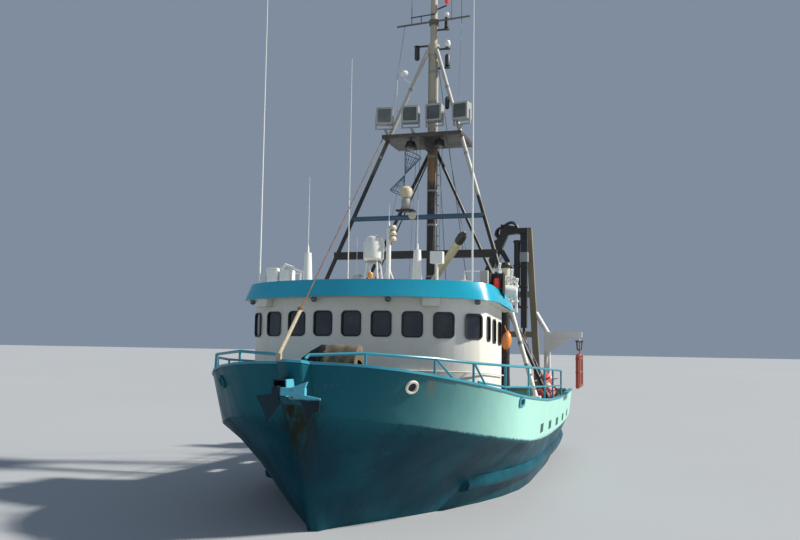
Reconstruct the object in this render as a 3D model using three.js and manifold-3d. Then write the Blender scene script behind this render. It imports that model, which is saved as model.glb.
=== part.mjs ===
import * as THREE from 'three';
import { mergeVertices } from 'three/addons/utils/BufferGeometryUtils.js';
import Module from 'manifold-3d';

// A small steel fishing trawler with its house forward, in millimetres.
// Bow towards -Y, port side +X, up +Z, origin amidships on the centreline at the waterline.

const wasm = await Module();
wasm.setup();

// Fits and platings
const SEAT = 0.3;
const FINEST_EDGE = 0.05;
const PLATE = 70;
const WALL = 60;
const DEG = Math.PI / 180;

// Sheer lines: y, z
const CAP_SHEER = [
  [-8850, 3530], [-8250, 3440], [-7750, 3350], [-6750, 3165], [-5750, 2995],
  [-4750, 2825], [-3750, 2665], [-1750, 2490], [250, 2340], [2000, 2230], [8850, 2200],
];
const DECK_SHEER = [
  [-8850, 2400], [-7200, 2240], [-5500, 1840], [-3250, 1500], [250, 1350], [3280, 1250], [8850, 1250],
];

// Hull lines: z, bow y, entry length, entry power, half-breadth, run length, stern y, stern half, nose radius
const HULL_LEVELS = [
  [-1900, -5700, 5600, 1.6, 600, 3000, 3600, 110, 100],
  [-1500, -6500, 6300, 1.7, 1950, 4300, 4700, 130, 120],
  [-800, -7000, 6900, 2.0, 2950, 5600, 5900, 260, 140],
  [-350, -7250, 7300, 2.2, 3200, 6500, 7600, 1500, 150],
  [0, -7410, 7550, 2.38, 3330, 5500, 8350, 3000, 160],
  [1000, -7750, 7900, 1.52, 3680, 5500, 8650, 3450, 200],
].map(([z, bow, entry, power, half, run, stern, sternHalf, nose]) => (
  { z: () => z, bow, entry, power, half, run, stern, sternHalf, nose }
));
const DECK_LINE = {
  z: (y) => along(DECK_SHEER, y), bow: -8410, entry: 5810, power: 1.2, half: 3770, run: 5500, stern: 8780,
  sternHalf: 3600, nose: 300,
};
const CAP_LINE = {
  z: (y) => along(CAP_SHEER, y), bow: -8825, entry: 6700, power: 0.98, half: 3860, run: 5500, stern: 8850,
  sternHalf: 3700, nose: 350,
};
const AMIDSHIPS = 250;
const ENTRY_STEPS = 10;
const RUN_STEPS = 6;

// Keel, stern gear
const KEEL = { top: -1890, bottom: -2350, front: -5300, back: 5200, half: 90 };
const SHAFT = { z: -1500, radius: 60 };
const PROPELLER = { y: 6150, radius: 640, hub: 130, blades: 4 };
const RUDDER = {
  y: 7050, stock: 55, stockTop: 400, pintle: 40, front: 6800, back: 7850, top: -620, bottom: -2150, half: 60,
};

// Deckhouse
const HOUSE = { front: -5360, half: 2970, corner: 1115, back: -2250, slope: 0.061, wallTop: 4900 };
const WINDOW = { width: 455, height: 560, radius: 95, centre: 4300, pitch: 725, each: 7 };
const AFT_WINDOW = { x: 1500, width: 800, height: 480, radius: 90, centre: 4250 };
const BROW = { low: 4905, high: 5320, reach: 300, topReach: 130, thick: 60 };
const ROOF = { low: 4900, high: 5060 };
const HOUSE_FLOOR = { top: 2900, thick: 60 };

// Mast and its legs
const MAST = { y: 1800, radius: 160, foot: 1250, step: 13500, topRadius: 115, top: 15300 };
const LEG = { top: [150, 1640, 13280], foot: [3740, -1350, 2460], radius: 62 };
const BACK_LEG = { top: [100, 1890, 10020], foot: [3740, 1300, 2274], radius: 55 };
const PLATFORM = { z: 10150, half: 1250, front: 420, back: 2150, thick: 120 };
const FLOOD = { y: 570, z: 10880, width: 510, deep: 300, xs: [-1235, -385, 385, 1235] };

// Stern gantry: two raked posts, the port one taller, and a beam across
const GANTRY = { y: 5500, footX: 2940, lean: 0.058, postTop: 7950, beamTop: 5700, section: 210 };
const GALLOWS = { x: 3200, y: 5400, top: 4300, reach: 4380, section: 200 };
const CRANE = {
  x: 450, y: 4650, pedestalTop: 3400, pivot: 4500, knuckle: 7760, lean: 1460, head: 600, jib: 3300,
};

function v(x, y, z) {
  return new THREE.Vector3(x, y, z);
}

function along(table, at) {
  const last = table.length - 1;
  const next = Math.min(Math.max(table.findIndex(([place]) => place > at), 1), last);
  const row = table[last][0] <= at ? last : next;
  const [a, from] = table[row - 1];
  const [b, to] = table[row];
  return from + (to - from) * Math.min(Math.max((at - a) / (b - a), 0), 1);
}

// Closed solids and their joins

function shell(points, triangles) {
  const geometry = new THREE.BufferGeometry();
  geometry.setAttribute('position', new THREE.Float32BufferAttribute(points.flat(), 3));
  geometry.setIndex(triangles.flat());
  return geometry;
}

function volume(position, index) {
  const [a, b, c] = [v(), v(), v()];
  let sum = 0;
  for (let i = 0; i < index.count; i += 3) {
    a.fromBufferAttribute(position, index.getX(i));
    b.fromBufferAttribute(position, index.getX(i + 1));
    c.fromBufferAttribute(position, index.getX(i + 2));
    sum += a.dot(b.cross(c));
  }
  return sum;
}

function closed(geometry) {
  const bare = geometry.clone();
  bare.deleteAttribute('normal');
  bare.deleteAttribute('uv');
  const merged = mergeVertices(bare, 1e-3);
  const inward = volume(merged.attributes.position, merged.index) < 0;
  const kept = [];
  for (let i = 0; i < merged.index.count; i += 3) {
    const corner = [0, 1, 2].map((k) => merged.index.getX(i + k));
    if (new Set(corner).size === 3) kept.push(...(inward ? corner.reverse() : corner));
  }
  merged.setIndex(kept);
  return merged;
}

function solid(geometry) {
  const whole = closed(geometry);
  return new wasm.Manifold(new wasm.Mesh({
    numProp: 3,
    vertProperties: new Float32Array(whole.attributes.position.array),
    triVerts: new Uint32Array(whole.index.array),
  }));
}

function surface(manifold) {
  const mesh = manifold.getMesh();
  const geometry = new THREE.BufferGeometry();
  geometry.setAttribute('position', new THREE.BufferAttribute(new Float32Array(mesh.vertProperties), 3));
  geometry.setIndex(new THREE.BufferAttribute(new Uint32Array(mesh.triVerts), 1));
  return geometry;
}

function fuse(...parts) {
  return surface(parts.flat().map(solid).reduce((sum, part) => sum.add(part)));
}

function cut(body, ...tools) {
  return surface(tools.flat().map(solid).reduce((rest, tool) => rest.subtract(tool), solid(body)));
}

function moved(geometry, x, y, z) {
  return geometry.clone().translate(x, y, z);
}

// Simple shapes, each given by its real size and place

function block([x0, x1], [y0, y1], [z0, z1]) {
  const geometry = new THREE.BoxGeometry(x1 - x0, y1 - y0, z1 - z0);
  return geometry.translate((x0 + x1) / 2, (y0 + y1) / 2, (z0 + z1) / 2);
}

function rod(from, to, radius, endRadius = radius, sides = 12) {
  const [a, b] = [v(...from), v(...to)];
  const axis = b.clone().sub(a);
  const geometry = new THREE.CylinderGeometry(endRadius, radius, axis.length(), sides);
  geometry.applyQuaternion(new THREE.Quaternion().setFromUnitVectors(v(0, 1, 0), axis.normalize()));
  const middle = a.add(b).multiplyScalar(0.5);
  return geometry.translate(middle.x, middle.y, middle.z);
}

// The hole that a pin turns in: its flats clear the pin's edges at every angle
function bore(from, to, pinRadius, sides = 24) {
  const radius = (pinRadius + SEAT) / Math.cos(Math.PI / sides);
  return rod(from, to, radius, radius, sides);
}

function ball([x, y, z], radius, sides = 12) {
  return new THREE.SphereGeometry(radius, sides, Math.max(4, Math.round(sides * 0.7))).translate(x, y, z);
}

function turned(profile, [x, y, z], sides = 24) {
  const geometry = new THREE.LatheGeometry(profile.map(([r, h]) => new THREE.Vector2(r, h)), sides);
  return geometry.rotateX(90 * DEG).translate(x, y, z);
}

// A body through like sections, with flat ends
function loft(sections) {
  const count = sections[0].length;
  const triangles = [];
  for (let s = 0; s < sections.length - 1; s += 1) {
    for (let k = 0; k < count; k += 1) {
      const [a, b] = [s * count + k, s * count + (k + 1) % count];
      triangles.push([a, b, b + count], [a, b + count, a + count]);
    }
  }
  const end = (sections.length - 1) * count;
  for (let k = 1; k < count - 1; k += 1) {
    triangles.push([0, k + 1, k], [end, end + k, end + k + 1]);
  }
  return shell(sections.flat(), triangles);
}

// A round pipe through points, with a mitre at each bend
function pipe(points, radius, sides = 8) {
  const spots = points.map((point) => v(...point));
  const runs = spots.slice(1).map((spot, k) => spot.clone().sub(spots[k]).normalize());
  const heading = (k) => (runs[k - 1] ?? runs[k]).clone().add(runs[k] ?? runs[k - 1]).normalize();
  let normal = Math.abs(runs[0].z) < 0.9 ? v(0, 0, 1) : v(1, 0, 0);
  return loft(spots.map((spot, k) => {
    const ahead = heading(k);
    const stretch = 1 / Math.max(ahead.dot(runs[k] ?? runs[k - 1]), 0.5);
    normal = normal.clone().addScaledVector(ahead, -normal.dot(ahead)).normalize();
    const sideways = ahead.clone().cross(normal);
    return Array.from({ length: sides }, (_, n) => {
      const turn = ((n + 0.5) / sides) * 360 * DEG;
      const spoke = normal.clone().multiplyScalar(Math.cos(turn) * radius * stretch);
      return spot.clone().add(spoke).addScaledVector(sideways, Math.sin(turn) * radius).toArray();
    });
  }));
}

// Ship's lines

// Half a level seen from above, from the stem to the stern corner, pushed out by a margin
function halfOutline(line, margin = 0) {
  const bow = line.bow - margin;
  const half = line.half + margin;
  const entry = line.entry + margin;
  const points = [[0, bow], [0.75 * line.nose, bow + 0.3 * line.nose]];
  for (let k = 0; k <= ENTRY_STEPS; k += 1) {
    const turn = (k / ENTRY_STEPS) * 90 * DEG;
    const x = line.nose + (half - line.nose) * Math.sin(turn) ** line.power;
    points.push([x, bow + line.nose + (entry - line.nose) * (1 - Math.cos(turn))]);
  }
  points.push([half, AMIDSHIPS]);
  for (let k = 0; k <= RUN_STEPS; k += 1) {
    const u = k / RUN_STEPS;
    const x = line.sternHalf + margin + (line.half - line.sternHalf) * (1 - u * u);
    points.push([x, line.stern - line.run * (1 - u)]);
  }
  return points;
}

// Both halves, from the starboard stern corner round the stem to the port one
function wholeOutline(line, margin = 0) {
  const port = halfOutline(line, margin);
  const starboard = port.slice(1).reverse().map(([x, y]) => [-x, y]);
  return [...starboard, ...port];
}

// A body through whole levels, closed by strips across it
function levelBody(rings) {
  const count = rings[0].length;
  const triangles = [];
  const wrap = (k) => (k + 1) % count;
  for (let s = 0; s < rings.length - 1; s += 1) {
    for (let k = 0; k < count; k += 1) {
      const [a, b] = [s * count + k, s * count + wrap(k)];
      triangles.push([a, b, b + count], [a, b + count, a + count]);
    }
  }
  const top = (rings.length - 1) * count;
  for (let k = 0; k < (count - 1) / 2; k += 1) {
    const [a, b, c, d] = [k, k + 1, count - 2 - k, count - 1 - k];
    triangles.push([a, c, b], [a, d, c]);
    triangles.push([top + a, top + b, top + c], [top + a, top + c, top + d]);
  }
  return shell(rings.flat(), triangles);
}

function ring(line, margin = 0) {
  return wholeOutline(line, margin).map(([x, y]) => [x, y, line.z(y)]);
}

function between(lowRing, highRing, part) {
  return lowRing.map((point, k) => point.map((value, axis) => value + (highRing[k][axis] - value) * part));
}

const deckRing = ring(DECK_LINE);
const rudderTrunk = bore([0, RUDDER.y, -1500], [0, RUDDER.y, RUDDER.stockTop + 5], RUDDER.stock);
const hullSolid = cut(levelBody([...HULL_LEVELS.map((line) => ring(line)), deckRing]), rudderTrunk);
const hullRaised = moved(hullSolid, 0, 0, SEAT);
const deckAt = (y) => along(DECK_SHEER, y);

// Stands a piece on the deck
function onDeck(...parts) {
  return cut(fuse(...parts), hullRaised);
}

const trawler = new THREE.Group();

const PAINT = {
  hull: [0x2f8c93, 0.55, 0.1],
  bottom: [0x2b2f36, 0.7, 0.05],
  white: [0xe8e6dd, 0.5, 0.05],
  black: [0x23262a, 0.5, 0.2],
  mast: [0x8a7a5c, 0.6, 0.2],
  cream: [0xd8c79c, 0.5, 0.1],
  grey: [0x8f9496, 0.55, 0.3],
  steel: [0x9a9c9b, 0.45, 0.7],
  rust: [0x7a4a2e, 0.8, 0.3],
  tarp: [0x6b5a45, 0.9, 0],
  bronze: [0xa98547, 0.35, 0.9],
  red: [0xb23a30, 0.6, 0.05],
};

function add(name, geometry, paint) {
  const [color, roughness, metalness] = PAINT[paint];
  const whole = surface(solid(geometry).simplify(FINEST_EDGE));
  whole.computeVertexNormals();
  const mesh = new THREE.Mesh(whole, new THREE.MeshStandardMaterial({ color, roughness, metalness }));
  mesh.name = name;
  trawler.add(mesh);
}

// Hull, keel and bulwark

function addHull() {
  add('hull', hullSolid, 'hull');
}

function addKeel() {
  const { top, bottom, front, back, half } = KEEL;
  const bar = block([-half, half], [front, back], [bottom, top + 60]);
  const upright = loft([-half, half].map((x) => (
    [[x, 1500, bottom], [x, 5500, bottom], [x, 5500, -500], [x, 4700, -500], [x, 1500, -1700]]
  )));
  const shoe = block([-70, 70], [5400, 7500], [bottom, bottom + 120]);
  const tube = rod([0, 4700, SHAFT.z], [0, 5700, SHAFT.z], 130, 110, 16);
  const shaftBore = bore([0, 4900, SHAFT.z], [0, 5800, SHAFT.z], SHAFT.radius);
  const heel = rod([0, RUDDER.y, bottom + 60], [0, RUDDER.y, bottom + 150], 95, 95, 16);
  const pintleBore = bore([0, RUDDER.y, bottom + 60], [0, RUDDER.y, bottom + 400], RUDDER.pintle);
  const body = fuse(bar, upright, shoe, tube, heel);
  add('keel', cut(body, moved(hullSolid, 0, 0, -SEAT), shaftBore, pintleBore), 'bottom');
}

function wallBand(lowLine, highLine, thick, drop) {
  const [lowOut, highOut] = [ring(lowLine), ring(highLine)];
  const [lowIn, highIn] = [ring(lowLine, -thick), ring(highLine, -thick)];
  return loft(lowOut.map((point, k) => {
    const [a, b, c, d] = [point, highOut[k], highIn[k], lowIn[k]];
    const [low, high] = [a[2] + SEAT, b[2] - drop];
    return [[a[0], a[1], low], [b[0], b[1], high], [c[0], c[1], high], [d[0], d[1], low]];
  }));
}

const CAP = { high: 50, outboard: 25, inboard: 130 };

function bulwarkShapes() {
  const ports = [];
  for (const y of [-900, 900, 2700, 4500, 6300]) {
    const z = deckAt(y);
    for (const side of [-1, 1]) {
      ports.push(block([side * 3800 - 400, side * 3800 + 400], [y, y + 600], [z + 90, z + 330]));
    }
  }
  const outer = ring(CAP_LINE, CAP.outboard);
  const inner = ring(CAP_LINE, -CAP.inboard);
  const cap = loft(outer.map(([x, y, z], k) => {
    const [nearX, nearY] = inner[k];
    const low = z - CAP.high;
    return [[x, y, low], [x, y, z], [nearX, nearY, z], [nearX, nearY, low]];
  }));
  const band = wallBand(DECK_LINE, CAP_LINE, PLATE, CAP.high / 2);
  return [cap, cut(band, ports, hullRaised, moved(cap, 0, 0, -SEAT), moved(cap, 0, 0, 20))];
}

const [capSolid, bulwarkSolid] = bulwarkShapes();

const STERN = { half: 3520, y: 8780, sill: 300, gap: 1300 };

function addStern() {
  const [low, high] = [deckAt(STERN.y) + SEAT, along(CAP_SHEER, STERN.y)];
  const { half, y, gap, sill } = STERN;
  const wall = block([-half, half], [y - PLATE, y], [low, high]);
  const top = block([-half, half], [y - 180, y + 20], [high - 60, high]);
  const notch = block([-gap, gap], [y - 300, y + 100], [low + sill, high + 100]);
  const roller = { y: y - 190, z: low + sill + 40, radius: 110, half: gap - 130 };
  const cheeks = [-1, 1].map((side) => {
    const x = side * (gap - 60);
    return block([x - 25, x + 25], [roller.y - 110, y - 20], [low, roller.z + 130]);
  });
  const pin = rod([-gap + 60, roller.y, roller.z], [gap - 60, roller.y, roller.z], 35, 35, 24);
  add('stern_bulwark', fuse(cut(fuse(wall, top), notch), cheeks, pin), 'hull');
  const at = (x) => [x, roller.y, roller.z];
  const barrel = rod(at(-roller.half), at(roller.half), roller.radius, roller.radius, 24);
  add('stern_roller', cut(barrel, bore(at(-gap), at(gap), 35)), 'steel');
}

// Half-round rubbing guards along the sides
const GUARD = { z: 600, half: 180, shoulder: 120, proud: 150, from: -5200 };

function addGuards() {
  const low = ring(HULL_LEVELS[4]);
  const high = ring(HULL_LEVELS[5]);
  const skin = (z) => between(low, high, z / 1000);
  const [bottom, middle, top] = [GUARD.z - GUARD.half, GUARD.z, GUARD.z + GUARD.half].map(skin);
  for (const [name, side] of [['guard_port', 1], ['guard_stbd', -1]]) {
    const sections = [];
    middle.forEach((point, k) => {
      if (Math.sign(point[0]) !== side || point[1] < GUARD.from || point[1] > 8500) return;
      const out = (spot, by) => [spot[0] + side * by, spot[1], spot[2]];
      const [a, b, c] = [bottom[k], point, top[k]];
      sections.push([
        out(a, SEAT), out([b[0], b[1], b[2] - GUARD.shoulder], GUARD.proud * 0.72), out(b, GUARD.proud),
        out([b[0], b[1], b[2] + GUARD.shoulder], GUARD.proud * 0.72), out(c, SEAT),
      ]);
    });
    add(name, cut(loft(sections), moved(hullSolid, side * SEAT, 0, 0)), 'hull');
  }
}

// Deckhouse

// Half of the house wall seen from above, from the middle of its front to its back corner
function houseOutline(margin = 0, back = HOUSE.back) {
  const half = [];
  const steps = 12;
  for (let k = 0; k <= steps; k += 1) {
    const turn = (k / steps) * 90 * DEG;
    const x = (HOUSE.half + margin) * Math.sin(turn);
    half.push([x, HOUSE.front - margin + (HOUSE.corner + margin) * (1 - Math.cos(turn))]);
  }
  half.push([HOUSE.half + margin, back]);
  return [...half.slice(1).reverse().map(([x, y]) => [-x, y]), ...half];
}

const fallAft = (z, y) => z - HOUSE.slope * (y - HOUSE.front);

// Evenly spaced places along the house wall, with the way each one faces
function wallPlaces() {
  const path = houseOutline().filter(([x]) => x >= 0);
  const places = [];
  for (let n = 0; n <= WINDOW.each; n += 1) {
    let left = n * WINDOW.pitch;
    let k = 0;
    const length = (i) => Math.hypot(path[i + 1][0] - path[i][0], path[i + 1][1] - path[i][1]);
    while (left > length(k)) {
      left -= length(k);
      k += 1;
    }
    const [dx, dy] = [path[k + 1][0] - path[k][0], path[k + 1][1] - path[k][1]];
    const part = left / length(k);
    places.push({ x: path[k][0] + dx * part, y: path[k][1] + dy * part, facing: Math.atan2(-dx, dy) });
  }
  places[0].facing = -90 * DEG;
  return places;
}

function roundedPane(width, height, radius, depth) {
  const [w, h] = [width / 2, height / 2];
  const shape = new THREE.Shape();
  shape.moveTo(-w + radius, -h);
  shape.lineTo(w - radius, -h).absarc(w - radius, -h + radius, radius, -90 * DEG, 0);
  shape.lineTo(w, h - radius).absarc(w - radius, h - radius, radius, 0, 90 * DEG);
  shape.lineTo(-w + radius, h).absarc(-w + radius, h - radius, radius, 90 * DEG, 180 * DEG);
  shape.lineTo(-w, -h + radius).absarc(-w + radius, -h + radius, radius, 180 * DEG, 270 * DEG);
  const pane = new THREE.ExtrudeGeometry(shape, { depth, bevelEnabled: false, curveSegments: 2 });
  return pane.translate(0, 0, -depth / 2).rotateX(90 * DEG);
}

function addHouse() {
  const [outer, inner] = [houseOutline(), houseOutline(-WALL)];
  const shellBand = loft(outer.map(([x, y], k) => {
    const [insideX, insideY] = inner[k];
    const [top, insideTop] = [fallAft(HOUSE.wallTop, y), fallAft(HOUSE.wallTop, insideY)];
    const foot = deckAt(y) - 60;
    return [[x, y, foot], [x, y, top], [insideX, insideY, insideTop], [insideX, insideY, foot]];
  }));
  const panes = [];
  wallPlaces().forEach(({ x, y, facing }, n) => {
    for (const side of n === 0 ? [1] : [-1, 1]) {
      const pane = roundedPane(WINDOW.width, WINDOW.height, WINDOW.radius, 6 * WALL);
      pane.rotateZ(side * (facing + 90 * DEG)).translate(side * x, y, fallAft(WINDOW.centre, y));
      panes.push(pane);
    }
  });
  add('house_walls', cut(shellBand, panes, hullRaised), 'white');
}

function roofLevel(z, margin, back) {
  return houseOutline(margin, back).map(([x, y]) => [x, y, fallAft(z, y)]);
}

function addRoof() {
  const back = HOUSE.back + 150;
  const lean = (BROW.reach - BROW.topReach) / (BROW.high - BROW.low);
  const inset = (z) => BROW.reach - BROW.thick - 4 - lean * (z - BROW.low);
  add('house_roof', levelBody([
    roofLevel(ROOF.low + SEAT, inset(ROOF.low), back), roofLevel(ROOF.high, inset(ROOF.high), back),
  ]), 'white');
  const sections = [
    roofLevel(BROW.low, BROW.reach, back), roofLevel(BROW.high, BROW.topReach, back),
    roofLevel(BROW.high, BROW.topReach - BROW.thick, back),
    roofLevel(BROW.low, BROW.reach - BROW.thick, back),
  ];
  add('brow', loft(sections[0].map((_, k) => sections.map((section) => section[k]))), 'hull');
}

const AFT_DOOR = { x: 1500, width: 680, height: 1650, sill: 330, leaf: 45, hinge: 40, pin: 14 };

function doorHinges(heights, pinX, pinY, toWallY, reach) {
  const bracket = heights.map((z) => block([pinX - 22, pinX + 22], [toWallY, pinY + 22], [z - 50, z - 8]));
  const pins = heights.map((z) => rod([pinX, pinY, z - 30], [pinX, pinY, z + 60], AFT_DOOR.pin));
  const lugs = heights.map((z) => block([pinX - reach, pinX + 24], [pinY - 22, pinY + 22], [z, z + 44]));
  const bores = heights.map((z) => bore([pinX, pinY, z - 60], [pinX, pinY, z + 90], AFT_DOOR.pin, 12));
  return { bracket, pins, lugs, bores };
}

function addAftWall() {
  const { back, half, wallTop } = HOUSE;
  const edge = half - WALL - SEAT;
  const [front, rear] = [back - WALL, back - SEAT];
  const wall = block([-edge, edge], [front, rear], [deckAt(back) - 60, fallAft(wallTop, back) + 40]);
  const roofRoom = levelBody([roofLevel(ROOF.low, 0, back + 200), roofLevel(ROOF.high, 0, back + 200)]);
  const z0 = deckAt(back) + AFT_DOOR.sill;
  const { x, width, height } = AFT_DOOR;
  const opening = block([x - width / 2, x + width / 2], [front - 50, rear + 50], [z0, z0 + height]);
  const pane = AFT_WINDOW;
  const panes = [-1, 1].map((side) => (
    roundedPane(pane.width, pane.height, pane.radius, 4 * WALL)
      .translate(side * pane.x, back, fallAft(pane.centre, back))
  ));
  const pin = { x: x + width / 2 + 70, y: rear + 34 };
  const hinges = doorHinges([z0 + 200, z0 + height - 260], pin.x, pin.y, rear - 10, 110);
  const hungWall = fuse(cut(wall, opening, panes), hinges.bracket, hinges.pins);
  add('house_aft_wall', cut(hungWall, hullRaised, roofRoom), 'white');

  const leafY = rear + 12;
  const leaf = block(
    [x - width / 2 - 45, x + width / 2 + 30], [leafY, leafY + AFT_DOOR.leaf], [z0 - 40, z0 + height + 40],
  );
  add('house_door', cut(fuse(leaf, hinges.lugs), hinges.bores), 'white');

  const floor = HOUSE_FLOOR;
  const plan = houseOutline(-WALL - SEAT, front - SEAT);
  const levels = [floor.top - floor.thick, floor.top].map((z) => plan.map(([px, py]) => [px, py, z]));
  add('house_floor', levelBody(levels), 'grey');
  const console = block([-1500, 1500], [-4750, -4250], [floor.top + SEAT, floor.top + 1000]);
  add('helm_console', console, 'black');
}

// Deck gear forward

const WINDLASS = { y: -6900, x0: -560, x1: 800, high: 880, drum: 270, legTop: 1130 };

function addWindlass() {
  const { y, x0, x1, high, drum, legTop } = WINDLASS;
  const deck = deckAt(y);
  const legs = [-330, 420].map((x) => (
    block([x - 40, x + 40], [y - 260, y + 260], [deck - 80, deck + legTop])
  ));
  const barrel = rod([x0, y, deck + high], [x1, y, deck + high], drum, drum, 20);
  const warping = rod([x0 - 180, y, deck + high], [x0, y, deck + high], 190, 150, 16);
  add('windlass', onDeck(legs, barrel, warping), 'black');
  const low = deck + high + drum + SEAT;
  // The cover's section: distance along the boat, height over its lower edge
  const section = [[-320, 10], [-230, 380], [0, 490], [240, 370], [320, 10]];
  const cover = loft(section.map(([dy, up]) => (
    [[x0 + 60, y + dy, low], [x0 + 60, y + dy, low + up], [x1, y + dy, low + up * 0.9], [x1, y + dy, low]]
  )));
  add('windlass_cover', cover, 'tarp');
}

// The hawse box on the stem, open ahead, with its roller across
const HAWSE = {
  x0: -190, x1: 90, front: -9000, low: 2830, high: 3150, plate: 25, rollerY: -8930, roller: 60,
};
// The anchor's two flukes and the two halves of its forked palm, seen from ahead: x, z
const ANCHOR_PLATES = [
  [[-440, 2850], [0, 2900], [60, 2720], [-170, 2365]],
  [[420, 2900], [860, 2830], [840, 2600], [600, 2500]],
  [[240, 3000], [240, 2880], [520, 2930], [600, 3130]],
  [[240, 2890], [240, 2800], [600, 2740], [520, 2935]],
];

function addAnchor() {
  const { x0, x1, front, low, high, plate, rollerY, roller } = HAWSE;
  const depth = [front, front + 500];
  const cheeks = [x0, x1 - plate].map((x) => block([x, x + plate], depth, [low, high]));
  const cover = block([x0, x1], depth, [high - plate, high]);
  const rollerZ = low + 55;
  const axle = rod([x0, rollerY, rollerZ], [x1, rollerY, rollerZ], roller, roller, 16);
  const bulwarkFront = moved(bulwarkSolid, 0, -SEAT, 0);
  const stemBody = levelBody([ring(DECK_LINE, SEAT), ring(CAP_LINE, SEAT)]);
  add('stem_roller', cut(fuse(cheeks, cover, axle), stemBody, bulwarkFront), 'grey');
  const face = front - 200;
  const shankLow = rollerZ + roller + SEAT;
  const shank = block([-90, -10], [face + 20, CAP_LINE.bow + 105], [shankLow, shankLow + 85]);
  const crown = block([-120, 550], [face, face + 100], [2860, 3010]);
  const plates = ANCHOR_PLATES.map((outline) => (
    loft([face - 5, face + 50].map((y) => outline.map(([x, z]) => [x, y, z])))
  ));
  add('anchor', fuse(crown, shank, plates), 'hull');
}

const BITT = { y: -7600, x: 600, radius: 85, high: 650 };

function addBitts() {
  const { x, y, radius, high } = BITT;
  const deck = deckAt(y);
  const bed = block([-x - 150, x + 150], [y - 60, y + 60], [deck - 100, deck + 90]);
  const pairs = [-1, 1].flatMap((side) => [
    ...[-200, 200].map((dy) => rod([side * x, y + dy, deck - 100], [side * x, y + dy, deck + high], radius)),
    rod([side * x, y - 330, deck + 430], [side * x, y + 330, deck + 430], 40),
    block([side * x - 80, side * x + 80], [y - 200, y + 200], [deck - 100, deck + 90]),
  ]);
  add('bitts', onDeck(bed, pairs), 'black');
}

// Pipe rails on the cap, and their posts. The pipes' heights: y, z
const RAIL = {
  radius: 30, sides: 8, start: -8600, posts: [-8150, -7100, -6050, -4700, -2950, -200, 1800, 4100],
};
const TOP_PIPE = [[-8500, 3610], [-8150, 3655], [-7100, 3560], [-6050, 3460], [-4700, 3383], [4100, 3010]];
const SECOND_PIPE = { start: -5900, heights: [[-4700, 2900], [4100, 2530]] };

// A place on the middle of the cap's top face, and how steeply the cap rises there
function capPoint(side, y) {
  const inner = ring(CAP_LINE, -CAP.inboard);
  const line = ring(CAP_LINE, CAP.outboard).map(([x, y0, z], k) => (
    [(x + inner[k][0]) / 2, (y0 + inner[k][1]) / 2, z]
  ));
  const port = line.filter(([x]) => x > 0);
  const row = port.findIndex((point) => point[1] >= y);
  const [a, b] = [port[row - 1], port[row]];
  const part = (y - a[1]) / (b[1] - a[1]);
  const rise = Math.abs((b[2] - a[2]) / (b[1] - a[1]));
  return { x: side * (a[0] + (b[0] - a[0]) * part), z: a[2] + (b[2] - a[2]) * part, rise };
}

function addRails() {
  const { radius, sides, start, posts } = RAIL;
  for (const [name, side] of [['rail_port', 1], ['rail_stbd', -1]]) {
    const at = (y, z) => [capPoint(side, y).x, y, z];
    const laid = (y, size) => at(y, capPoint(side, y).z + size * (1.05 + capPoint(side, y).rise) + SEAT);
    const slim = radius * 0.8;
    const top = [laid(start, radius), ...[TOP_PIPE[0][0], ...posts].map((y) => at(y, along(TOP_PIPE, y)))];
    const aft = posts.filter((y) => y >= SECOND_PIPE.heights[0][0]);
    const second = [laid(SECOND_PIPE.start, slim), ...aft.map((y) => at(y, along(SECOND_PIPE.heights, y)))];
    const uprights = posts.map((y) => {
      const { z, rise } = capPoint(side, y);
      const foot = at(y, z + radius * rise + SEAT);
      return rod(foot, at(y, along(TOP_PIPE, y)), radius * 0.9, radius * 0.9, sides);
    });
    add(name, fuse(pipe(top, radius, sides), pipe(second, slim, sides), uprights), 'hull');
  }
}

// Mast, legs, platform and lamps

const COLLAR = { low: 13150, high: 13500, radius: 195 };

const legEnds = (side) => [LEG.top, LEG.foot].map(([x, y, z]) => [side * x, y, z]);
const backLegEnds = (side) => [BACK_LEG.top, BACK_LEG.foot].map(([x, y, z]) => [side * x, y, z]);

function mastShape(extra = 0) {
  const { y, radius, foot, step, topRadius, top } = MAST;
  return fuse(
    rod([0, y, foot - 80], [0, y, step], radius + extra, radius + extra, 24),
    rod([0, y, step - 100], [0, y, top], topRadius + extra, topRadius + extra, 24),
  );
}

function collarShape(extra = 0) {
  const { low, high, radius } = COLLAR;
  return rod([0, MAST.y, low - extra], [0, MAST.y, high + extra], radius + extra, radius + extra, 24);
}

// A flat foot under the end of a leg
function soleAt([x, y, z], halfX, halfY, down, up) {
  return block([x - halfX, x + halfX], [y - halfY, y + halfY], [z - down, z + up]);
}

function addMast() {
  const flange = rod([0, MAST.y, MAST.foot - 80], [0, MAST.y, MAST.foot + 100], 330, 330, 24);
  add('mast', onDeck(mastShape(), flange, collarShape(), derrickBracket()), 'mast');
  const clearMast = fuse(mastShape(SEAT), collarShape(SEAT));
  const bulwarkRoom = fuse([-SEAT, SEAT].map((dx) => moved(bulwarkSolid, dx, 0, 0)));
  const capRoom = fuse([-SEAT, SEAT].map((dz) => moved(capSolid, 0, 0, dz)));
  for (const [name, side] of [['mast_leg_port', 1], ['mast_leg_stbd', -1]]) {
    const [top, foot] = legEnds(side);
    const leg = fuse(rod(top, foot, LEG.radius, LEG.radius, 16), soleAt(foot, 110, 160, 30, 50));
    add(name, cut(leg, clearMast, capRoom, bulwarkRoom), 'black');
  }
  for (const [name, side] of [['mast_stay_leg_port', 1], ['mast_stay_leg_stbd', -1]]) {
    const [top, foot] = backLegEnds(side);
    const leg = fuse(rod(top, foot, BACK_LEG.radius), soleAt(foot, 100, 130, 10, 50));
    add(name, cut(leg, clearMast, capRoom, bulwarkRoom), 'mast');
  }
}

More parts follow.
